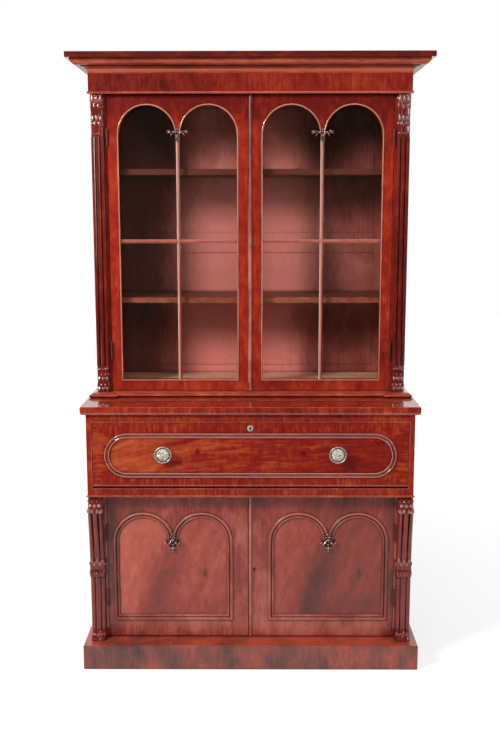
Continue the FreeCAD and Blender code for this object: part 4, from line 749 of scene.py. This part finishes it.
base_leaves = (tier(44, 4, 14, 2.8, 2.6, FRONTS) + tier(56, 18, 12, 2.6, 2.6, BETWEEN)
               + tier(82, 42, 13, 2.6, 2.4, FRONTS) + tier(86, 60, 11, 2.4, 2.0, BETWEEN)
               + tier(98, 84, 11, 2.6, 1.6, COLLAR))
bases = carved_pair(
    "carved_bases", carved, low=1012, high=1111, leaves=base_leaves, stations=[
        (0.00, 0.90, 0.84, 0.5), (0.30, 0.92, 0.86, 0.4), (0.60, 0.88, 0.80, 0.5),
        (0.92, 0.93, 0.88, 0.3), (1.0, 0.95, 0.92, 0.6)], **COLUMN)
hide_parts("column_bases")

# %% [markdown]
# ### Consoles
# The consoles flank the lower doors. A leaf turns over the head, three reeds run down an
# S-shaped neck into a calyx and a collar, and a plain reeded shaft spreads into a foot.

# %% Consoles
INNER_TIPS = (-22, 0, 22)
console_leaves = (
    tier(0, 26, 15, 2.2, 2.0, (-34, -17, 0, 17, 34))
    + tier(240, 264, 12, 2.6, 1.8, (-38, -26, -13, 0, 13, 26, 38))
    + tier(262, 304, 15, 3.0, 4.0, (-32, -11, 11, 32)) + tier(262, 318, 14, 2.4, 3.4, INNER_TIPS)
    + tier(540, 498, 17, 4.2, 4.6, (-34, -11, 11, 34)) + tier(556, 520, 14, 4.0, 3.6, INNER_TIPS)
    + tier(562, 538, 13, 3.0, 2.4, (-33, -11, 11, 33)))
consoles = carved_pair(
    "carved_consoles", console_wood, centre_x=-571, wall_y=-181, low=93, high=657, half=29,
    reach=56, step=2.4, leaves=console_leaves, stations=[
        (0.00, 0.98, 0.84, 0.5), (0.03, 0.96, 0.68, 0.7), (0.07, 0.94, 0.50, 1),
        (0.12, 0.94, 0.42, 1), (0.28, 0.95, 0.38, 1), (0.425, 0.96, 0.38, 1),
        (0.433, 1.02, 0.47, 0.4), (0.475, 1.02, 0.49, 0.4), (0.483, 0.97, 0.43, 0.4),
        (0.545, 0.97, 0.45, 0.5), (0.57, 0.96, 0.46, 0.9), (0.66, 0.96, 0.60, 1),
        (0.76, 0.97, 0.80, 1), (0.84, 0.98, 0.95, 1), (0.885, 1.0, 0.99, 0.8),
        (0.91, 0.93, 0.90, 0.4), (0.96, 0.92, 0.90, 0.4), (1.0, 0.90, 0.88, 0.4)])
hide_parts("consoles")


# %% [markdown]
# ## Mouldings along a path
# A half-round bead is worked round every glazed opening, the fall carries a long ring of two
# beads, and the glazing bars have a nose between two fillets. Each is one profile carried along
# one path, which is what Curve to Mesh does in Geometry Nodes. The tree's inputs are the path,
# a profile object (height above the ground, then distance across) and a material.
# The profile's points also say how pale each crest turns: partly polish rubbed off, partly painted
# highlight.

# %% Moulding tree
def moulding_tree():
    """Geometry Nodes: a path of edges and a profile in, the moulding along the path out."""
    tree = bpy.data.node_groups.new("moulding_along_a_path", "GeometryNodeTree")
    face = tree.interface
    for socket, kind in (("Path", "Geometry"), ("Profile", "Object"), ("Wood", "Material")):
        face.new_socket(socket, in_out="INPUT", socket_type="NodeSocket" + kind)
    face.new_socket("Moulding", in_out="OUTPUT", socket_type="NodeSocketGeometry")
    given = node(tree, "NodeGroupInput").outputs
    line = node(tree, "GeometryNodeMeshToCurve", {"Mesh": given["Path"]}).outputs[0]
    line = node(tree, "GeometryNodeSetCurveNormal", {"Curve": line, "Normal": (0, -1, 0)},
                mode="FREE").outputs[0]
    drawn = node(tree, "GeometryNodeObjectInfo", {"Object": given["Profile"]}).outputs["Geometry"]
    drawn = node(tree, "GeometryNodeMeshToCurve", {"Mesh": drawn}).outputs[0]
    swept = node(tree, "GeometryNodeCurveToMesh", {"Curve": line, "Profile Curve": drawn,
                                                   "Fill Caps": True}).outputs[0]
    real = node(tree, "GeometryNodeRealizeInstances", {"Geometry": swept}).outputs[0]
    done = node(tree, "GeometryNodeSetMaterial", {"Geometry": real, "Material": given["Wood"]})
    node(tree, "NodeGroupOutput", {0: done.outputs[0]})
    return tree


swept_moulding = moulding_tree()


def grown_piece(name, body, slot, lines, closed=False, **inputs):
    """Carries a profile along lines and keeps the plain result."""
    source = path_object(name + "_path", lines, closed)
    growing = source.modifiers.new("growth", "NODES")
    growing.node_group = swept_moulding
    for item in swept_moulding.interface.items_tree:
        if item.in_out == "INPUT" and item.name in inputs:
            growing[item.identifier] = inputs[item.name]
    result = bpy.data.meshes.new_from_object(
        source.evaluated_get(bpy.context.evaluated_depsgraph_get()))
    source.modifiers.remove(growing)
    bpy.data.objects.remove(source)
    result.name = name
    return riding_piece(name, result, body, 50)


def path_object(name, lines, closed=False, wear_and_highlight=()):
    """Edges through each line's points, in millimetres, as a source for the tree."""
    points, edges = [], []
    for line in lines:
        first, count = len(points), len(line)
        points += [tuple(MM * value for value in point) for point in line]
        edges += [(first + i, first + (i + 1) % count) for i in range(count - (not closed))]
    mesh = bpy.data.meshes.new(name)
    mesh.from_pydata(points, edges, [])
    if wear_and_highlight:
        mark_wear_and_highlight(mesh, wear_and_highlight)
    return placed(name, mesh)


def profile(name, rows):
    """A closed profile from rows of height, distance across, and pale share: partly wear, partly
    painted highlight.
    """
    return path_object(name, [[(high, across, 0) for high, across, _ in rows]], closed=True,
                       wear_and_highlight=[highlight_and_wear for _, _, highlight_and_wear in rows])


def mirrored(half, crown, left=1, right=1):
    """Rows of a whole profile from those of one half, with more or less paleness on each side:
    partly wear, partly painted highlight.
    """
    return ([(high, -across, left * highlight_and_wear) for high, across, highlight_and_wear in half] + [crown]
            + [(high, across, right * highlight_and_wear) for high, across, highlight_and_wear in reversed(half)])


def arc(centre_x, centre_z, radius, y, angles):
    return [(centre_x + radius * math.cos(a), y, centre_z + radius * math.sin(a)) for a in angles]


# %% Beads round the glass
# Each pane: its door, left and right edge, height where its arches spring, and their radius.
PANES = (("upper_left_door", -480.5, -49.5, 1961, 103),
         ("upper_right_door", 45.5, 480.5, 1960, 104))
SILL, CUSP_DROP, ARC_STEPS, CORNER = 1058, 3, 26, 1.0
BEAD, OUT, PANE_FACE, BEAD_POINTS = 3.1, 3.0, -33.0, 12


def double_arch_path(low, high, spring, radius):
    """A path round a double-arched opening, with close points at its corners."""
    bottom = SILL - OUT
    turns = [math.pi * i / ARC_STEPS for i in range(ARC_STEPS + 1)]
    return ([(low, PANE_FACE, bottom + CORNER), (low + CORNER, PANE_FACE, bottom),
             (high - CORNER, PANE_FACE, bottom), (high, PANE_FACE, bottom + CORNER)]
            + arc(high - radius, spring, radius, PANE_FACE, turns)
            + [((low + high) / 2, PANE_FACE, spring - CUSP_DROP)]
            + arc(low + radius, spring, radius, PANE_FACE, turns))


turns = [2 * math.pi * i / BEAD_POINTS for i in range(BEAD_POINTS)]
# The bead's crest is paler: partly wear, partly painted highlight.
round_bead = profile("bead_profile", [(BEAD * math.cos(a), BEAD * math.sin(a),
                                       0.35 * max(0, math.cos(a)) ** 4) for a in turns])
for door, low, high, spring, radius in PANES:
    loop = double_arch_path(low - OUT, high + OUT, spring, radius + OUT)
    grown_piece(door + "_glazing_bead", door, "mahogany",
                [loop], closed=True, Profile=round_bead, Wood=bead_wood)

# %% Glazing bars
# Half the bar's section: fillet, quirk and the side of its nose, each with a pale share, partly
# wear and partly painted highlight.
BAR_HALF = [(0, 6.5, 0), (3.6, 6.5, 0.6), (4.4, 6.0, 1), (4.6, 4.9, 0.9), (4.4, 4.0, 0),
            (6.6, 3.6, 0.15), (8.3, 2.3, 0.3)]
BAR_NOSE, BAR_BACK, CROSSING = 9, -21, 1575
# Painted highlight: the upright bars are pale on their left side, where the key lamp falls, and
# hardly on the right.
upright_bar = profile("upright_bar_profile", mirrored(BAR_HALF, (BAR_NOSE, 0, 0.25), 0.95, 0.1))
cross_bar = profile("cross_bar_profile", mirrored(BAR_HALF, (BAR_NOSE, 0, 0.0), 0.3, 0.3))
for door, low, high, spring, _ in PANES:
    middle = round((low + high) / 2)
    upright = [(middle, BAR_BACK, SILL), (middle, BAR_BACK, spring - CUSP_DROP)]
    mullion = grown_piece(door + "_mullion", door, "mahogany",
                          [upright], Profile=upright_bar, Wood=bar_wood)
    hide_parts(door + "_glazing_bars")
    crossed = [[(low, BAR_BACK, CROSSING), (middle - 1, BAR_BACK, CROSSING)],
               [(middle + 1, BAR_BACK, CROSSING), (high, BAR_BACK, CROSSING)]]
    grown_piece(door + "_cross_bar", door, "mahogany", crossed,
                Profile=cross_bar, Wood=bar_wood)

# %% Ring of the fall
# Half the ring's section; each row's last number is its paleness, partly wear and partly painted
# highlight.
RING_HALF = [(0, 8.5, 0), (3.6, 8.5, 0), (5.8, 8.0, 0.2), (6.8, 6.9, 0.8), (6.8, 6.1, 0.6),
             (5.6, 5.2, 0.1), (4.0, 4.2, 0), (3.4, 2.2, 0)]
END, RISE, FALL_FACE, FALL_MIDDLE, END_STEPS = 447.0, 73.5, -237.0, 813, 28
ring_profile = profile("ring_profile", mirrored(RING_HALF, (3.2, 0, 0)))
stadium = [(side * (END + RISE * math.sin(a)), FALL_FACE, FALL_MIDDLE + side * RISE * math.cos(a))
           for side in (1, -1) for a in np.linspace(0, math.pi, END_STEPS + 1).tolist()]
fall_ring = grown_piece("fall_ring_moulding", "fall_front", "carved_mahogany",
                        [stadium], closed=True, Profile=ring_profile, Wood=ring_wood)
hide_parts("fall_moulding")
for drawn in (round_bead, upright_bar, cross_bar, ring_profile):
    bpy.data.objects.remove(drawn)

# %% [markdown]
# ## Arched mouldings of the lower doors
# Round each panel the moulding has a round crest and a lower inner bead. Where the arches meet,
# every inner line drops further than the one outside it, so the tongue is longer than a sweep
# would make it. Rings of points are drawn at each step inwards and skinned.

# %% Arched mouldings
PANEL_SILL, PANEL_SPRING, PANEL_RADIUS, LOWER_FACE = 159.0, 468.0, 115.0, -181
INNERMOST, TONGUE, ARCHED_STEPS = 23, 30, 24
HIGHLIGHT_LEAST, HIGHLIGHT_MOST, HIGHLIGHT_LOW, HIGHLIGHT_RISE = 0.08, 0.6, 430, 200
# Each row: how far in from the outer edge, how far forward, and the pale share, partly wear and
# partly painted highlight.
ARCH_ROWS = [(0.0, 0.0, 0), (0.2, 2.6, 0), (1.2, 4.9, 0.1), (3.2, 6.5, 0.5), (5.4, 7.0, 0.8),
             (8.0, 6.6, 0.3), (10.4, 5.0, 0), (12.0, 2.4, 0), (13.0, 0.2, 0), (14.2, 0.2, 0),
             (15.6, 3.0, 0.1), (17.6, 4.0, 0.5), (19.6, 3.6, 0.2), (21.6, 2.0, 0), (22.6, 0.2, 0),
             (23.0, -3.0, 0), (10.3, -3.0, 0), (10.2, -0.1, 0), (0.0, 0.0, 0)]


def arched_ring(low, high, inset, y):
    """A loop inside a double arch, with a tongue that hangs lower the further in it lies."""
    half, reach = (high - low) / 2 - PANEL_RADIUS, PANEL_RADIUS - inset
    if reach > half:
        end, tip = math.acos(-half / reach), PANEL_SPRING + math.sqrt(reach ** 2 - half ** 2)
    else:
        end, tip = math.pi, PANEL_SPRING - (TONGUE - (INNERMOST - inset) * 2)
    turns = [end * i / ARCHED_STEPS for i in range(ARCHED_STEPS + 1)]
    return ([(low + inset, y, PANEL_SILL + inset), (high - inset, y, PANEL_SILL + inset)]
            + arc(high - PANEL_RADIUS, PANEL_SPRING, reach, y, turns)
            + [((low + high) / 2, y, tip)]
            + arc(low + PANEL_RADIUS, PANEL_SPRING, reach, y,
                  [math.pi - a for a in reversed(turns)]))


for door, low, high in (("lower_left_door", -514, -65), ("lower_right_door", 65, 514)):
    loops = [arched_ring(low, high, inset, LOWER_FACE - proud) for inset, proud, _ in ARCH_ROWS]
    # Painted highlight: the crests grow paler towards the tops of the arches, where light from
    # above falls.
    wear_and_highlight = [highlight_and_wear * min(HIGHLIGHT_MOST, max(HIGHLIGHT_LEAST, (z - HIGHLIGHT_LOW) / HIGHLIGHT_RISE))
              for loop, (_, _, highlight_and_wear) in zip(loops, ARCH_ROWS) for _, _, z in loop]
    skin = tube_faces(len(loops), len(loops[0]), capped=False)
    arch = new_piece(door + "_arched_moulding", door, door_wood,
                     (sum(loops, []), skin, wear_and_highlight))
    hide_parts(door + "_moulding")

# %% [markdown]
# ## Knobs and keyholes
# The fall's knobs are cast rosettes in a raised rim, with petals chased into the dome.
# The escutcheon is a plain ring, and two doors have a keyhole with hardly any metal round it.

# %% Knobs
KNOB_X, KNOB_Z, AROUND = 315, 821.5, 96
# Each ring: radius and reach, and where petals are chased, their number and depth.
KNOB_ROWS = [(13, 0), (12, 3), (10, 9), (11, 15), (17, 20), (26, 24.5), (30.4, 28), (31, 30),
             (30.4, 32.4), (28.8, 33.4), (27.2, 32.4), (26.2, 28.0), (24.6, 26.6),
             (23.2, 29.4, 16, 0.6), (22.0, 32.4, 16, 1.8), (20.0, 34.2, 16, 2.2),
             (17.4, 35.4, 16, 2.0), (15.4, 35.4, 16, 1.0), (14.4, 35.0, 8, 0.6),
             (13.0, 36.4, 8, 1.8), (10.4, 37.2, 8, 2.2), (7.6, 37.4, 8, 1.6), (5.6, 36.4, 8, 0.4),
             (4.6, 37.4), (2.6, 38.0), (0.2, 38.0)]


def knob_ring(centre_x, radius, reach, petals=0, depth=0):
    """A round of points, drawn back between the petals."""
    turn = np.linspace(0, 2 * math.pi, AROUND, endpoint=False)
    cut = depth * (np.abs(np.sin(turn * petals / 2)) ** 0.7 - 1)
    return np.stack((centre_x + radius * np.cos(turn), FALL_FACE - reach - cut,
                     KNOB_Z + radius * np.sin(turn)), axis=1)


knobs = new_piece("fall_rosette_knobs", "fall_front", old_brass, gathered([
    (np.concatenate([knob_ring(x, *row) for row in KNOB_ROWS]),
     tube_faces(len(KNOB_ROWS), AROUND), ()) for x in (-KNOB_X, KNOB_X)]), crease=60)
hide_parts("fall_knobs")


# %% Keyholes
FOOT_SHARE, SUNK, PROUD = 0.62, 0.3, 0.25


def oval_ring(x, z, face_y, half_wide, half_high, thick, proud, around=36, sides=10):
    """A raised ring round a keyhole, sunk a little into the wood."""
    points = []
    for i in range(around + 1):
        a = 2 * math.pi * i / around
        for j in range(sides):
            b = 2 * math.pi * j / sides
            out = thick * math.cos(b)
            points.append((x + (half_wide - thick + out) * math.cos(a),
                           face_y - proud * math.sin(b),
                           z + (half_high - thick + out) * math.sin(a)))
    return points, tube_faces(around + 1, sides, capped=False), ()


def keyhole_plate(x, z, face_y, radius, drop):
    """The opening as a dark plate, painted shade where the hole is: a round head over a slot that
    widens downwards.
    """
    turns = [math.radians(-50 + 280 * i / 16) for i in range(17)]
    outline = [(x + radius * math.cos(a), z + radius * math.sin(a)) for a in turns]
    outline += [(x + side * radius * FOOT_SHARE, z - drop) for side in (-1, 1)]
    points = [(px, y, pz) for y in (face_y + SUNK, face_y - PROUD) for px, pz in outline]
    return points, tube_faces(2, len(outline)), ()


# Middle and face of each, half width, half height, thickness and rise of the ring, then hole.
for name, body, metal, x, z, face_y, wide, tall, thick, proud, hole, drop in (
        ("fall", "fall_front", old_brass, 0.0, 913.0, -238.5, 11.5, 11.5, 2.2, 1.2, 3.8, 8.0),
        ("upper_right_door", "upper_right_door", lacquered, 11.4, 1575.0, -33.0,
         5.8, 10.5, 1.0, 0.7, 2.4, 7.0),
        ("lower_right_door", "lower_right_door", lacquered, 14.0, 360.0, -181.0,
         5.6, 9.5, 0.7, 0.7, 4.2, 8.0)):
    new_piece(name + "_key_ring", body, metal,
              oval_ring(x, z, face_y, wide, tall, thick, proud), crease=80)
    new_piece(name + "_keyhole", body, keyhole_shade,
              keyhole_plate(x, z + 1.5, face_y, hole, drop))

# %% [markdown]
# ## Small carved ornaments
# A sprig of leaves hides the point where two arches meet: scrolls to both sides on the glazed
# doors, and a three-lobed drop on the panelled ones. Each lobe is a short sweep that swells
# and closes to a tip, the way a gouge leaves it.

# %% Lobes
GLINT, GLINT_TURN, EASINGS = 0.8, 1.3, 2


def lobe(path, widths, depths, y_front, sides=10, rings=14):
    """A swept leaf in the XZ plane: (x, z) path points, half widths and half depths."""
    spots = np.array(path, float)
    fine = np.linspace(0, 1, rings)

    def along(values):
        return np.interp(fine, np.linspace(0, 1, len(values)), values)

    smooth = np.stack([along(spots[:, k]) for k in (0, 1)], axis=1)
    for _ in range(EASINGS):
        smooth[1:-1] = (smooth[:-2] + 2 * smooth[1:-1] + smooth[2:]) / 4
    tangent = np.gradient(smooth, axis=0)
    tangent /= np.linalg.norm(tangent, axis=1)[:, None] + 1e-9
    turn = np.linspace(0, 2 * math.pi, sides, endpoint=False)
    points = [(x - dz * w * math.cos(a), y_front - d * math.sin(a), z + dx * w * math.cos(a))
              for (x, z), (dx, dz), w, d in zip(smooth, tangent, along(widths), along(depths))
              for a in turn]
    # Painted highlights: glints on the lobes' fronts at a few rings along each lobe.
    glints = [GLINT * max(0, math.cos(GLINT_TURN * ring)) ** 2 for ring in range(rings)]
    return (points, tube_faces(rings, sides),
            [glint * max(0, math.sin(a)) ** 4 for glint in glints for a in turn])


# %% Sprigs and three-lobed drops
ONCE, BOTH = (1,), (-1, 1)
# Each lobe: its sides, its path from the ornament's middle, half widths, half depths, front.
SPRIG = (
    (ONCE, [(0, 8), (0, -4), (0, -18)], (1, 4, 1), (1, 6, 1), -34),
    (BOTH, [(1, -27), (8, -14), (20, -9), (32, -12), (40, -19)], (1.6, 3, 3.4, 3, 1),
     (3, 5, 5, 4, 1), -34),
    (BOTH, [(22, -8), (32, -6), (42, -11)], (1, 2.8, 1), (1, 6, 1), -35),
    (BOTH, [(16, -12), (23, -20), (25, -27)], (1, 2.8, 1), (1, 5, 1), -34),
    (BOTH, [(7, -25), (6, -35), (2, -46)], (1.2, 3, 1), (2, 5, 1), -33))
LEAF_DROP = (
    (ONCE, [(-12, 0), (0, 3), (12, 0)], (1, 3.4, 1), (2, 6, 2), -189),
    (BOTH, [(2, -7), (8, -8), (13, -12)], (2, 4, 1.5), (3, 6, 2), -189),
    (ONCE, [(0, -8), (0, -20), (0, -30)], (3, 6.5, 2), (4, 8.5, 2), -189),
    (ONCE, [(0, -34), (0, -48), (0, -60), (0, -69)], (2, 7, 6, 0.8), (3, 9, 8, 1), -188),
    (BOTH, [(4, -16), (10, -28), (17, -36), (24, -34)], (2.5, 5, 6, 3), (4, 8, 9, 3), -188),
    (BOTH, [(18, -33), (26, -30), (27, -22)], (3, 5, 1.4), (3, 8, 2), -190),
    (BOTH, [(3, -44), (9, -50), (14, -47)], (2, 3.6, 1), (3, 6, 2), -188))
for door, ornament, rows, x, top in (
        ("upper_left_door", "_sprig", SPRIG, -265, 1981),
        ("upper_right_door", "_sprig", SPRIG, 263, 1980),
        ("lower_left_door", "_leaf_drop", LEAF_DROP, -289.5, 496),
        ("lower_right_door", "_leaf_drop", LEAF_DROP, 289.5, 496)):
    lobes = [lobe([(x + side * across, top + up) for across, up in path], *shape)
             for sides, path, *shape in rows for side in sides]
    new_piece(door + ornament, door, carved_gloss, gathered(lobes), crease=70)

# %% View transform
bpy.context.scene.view_settings.view_transform = "Standard"
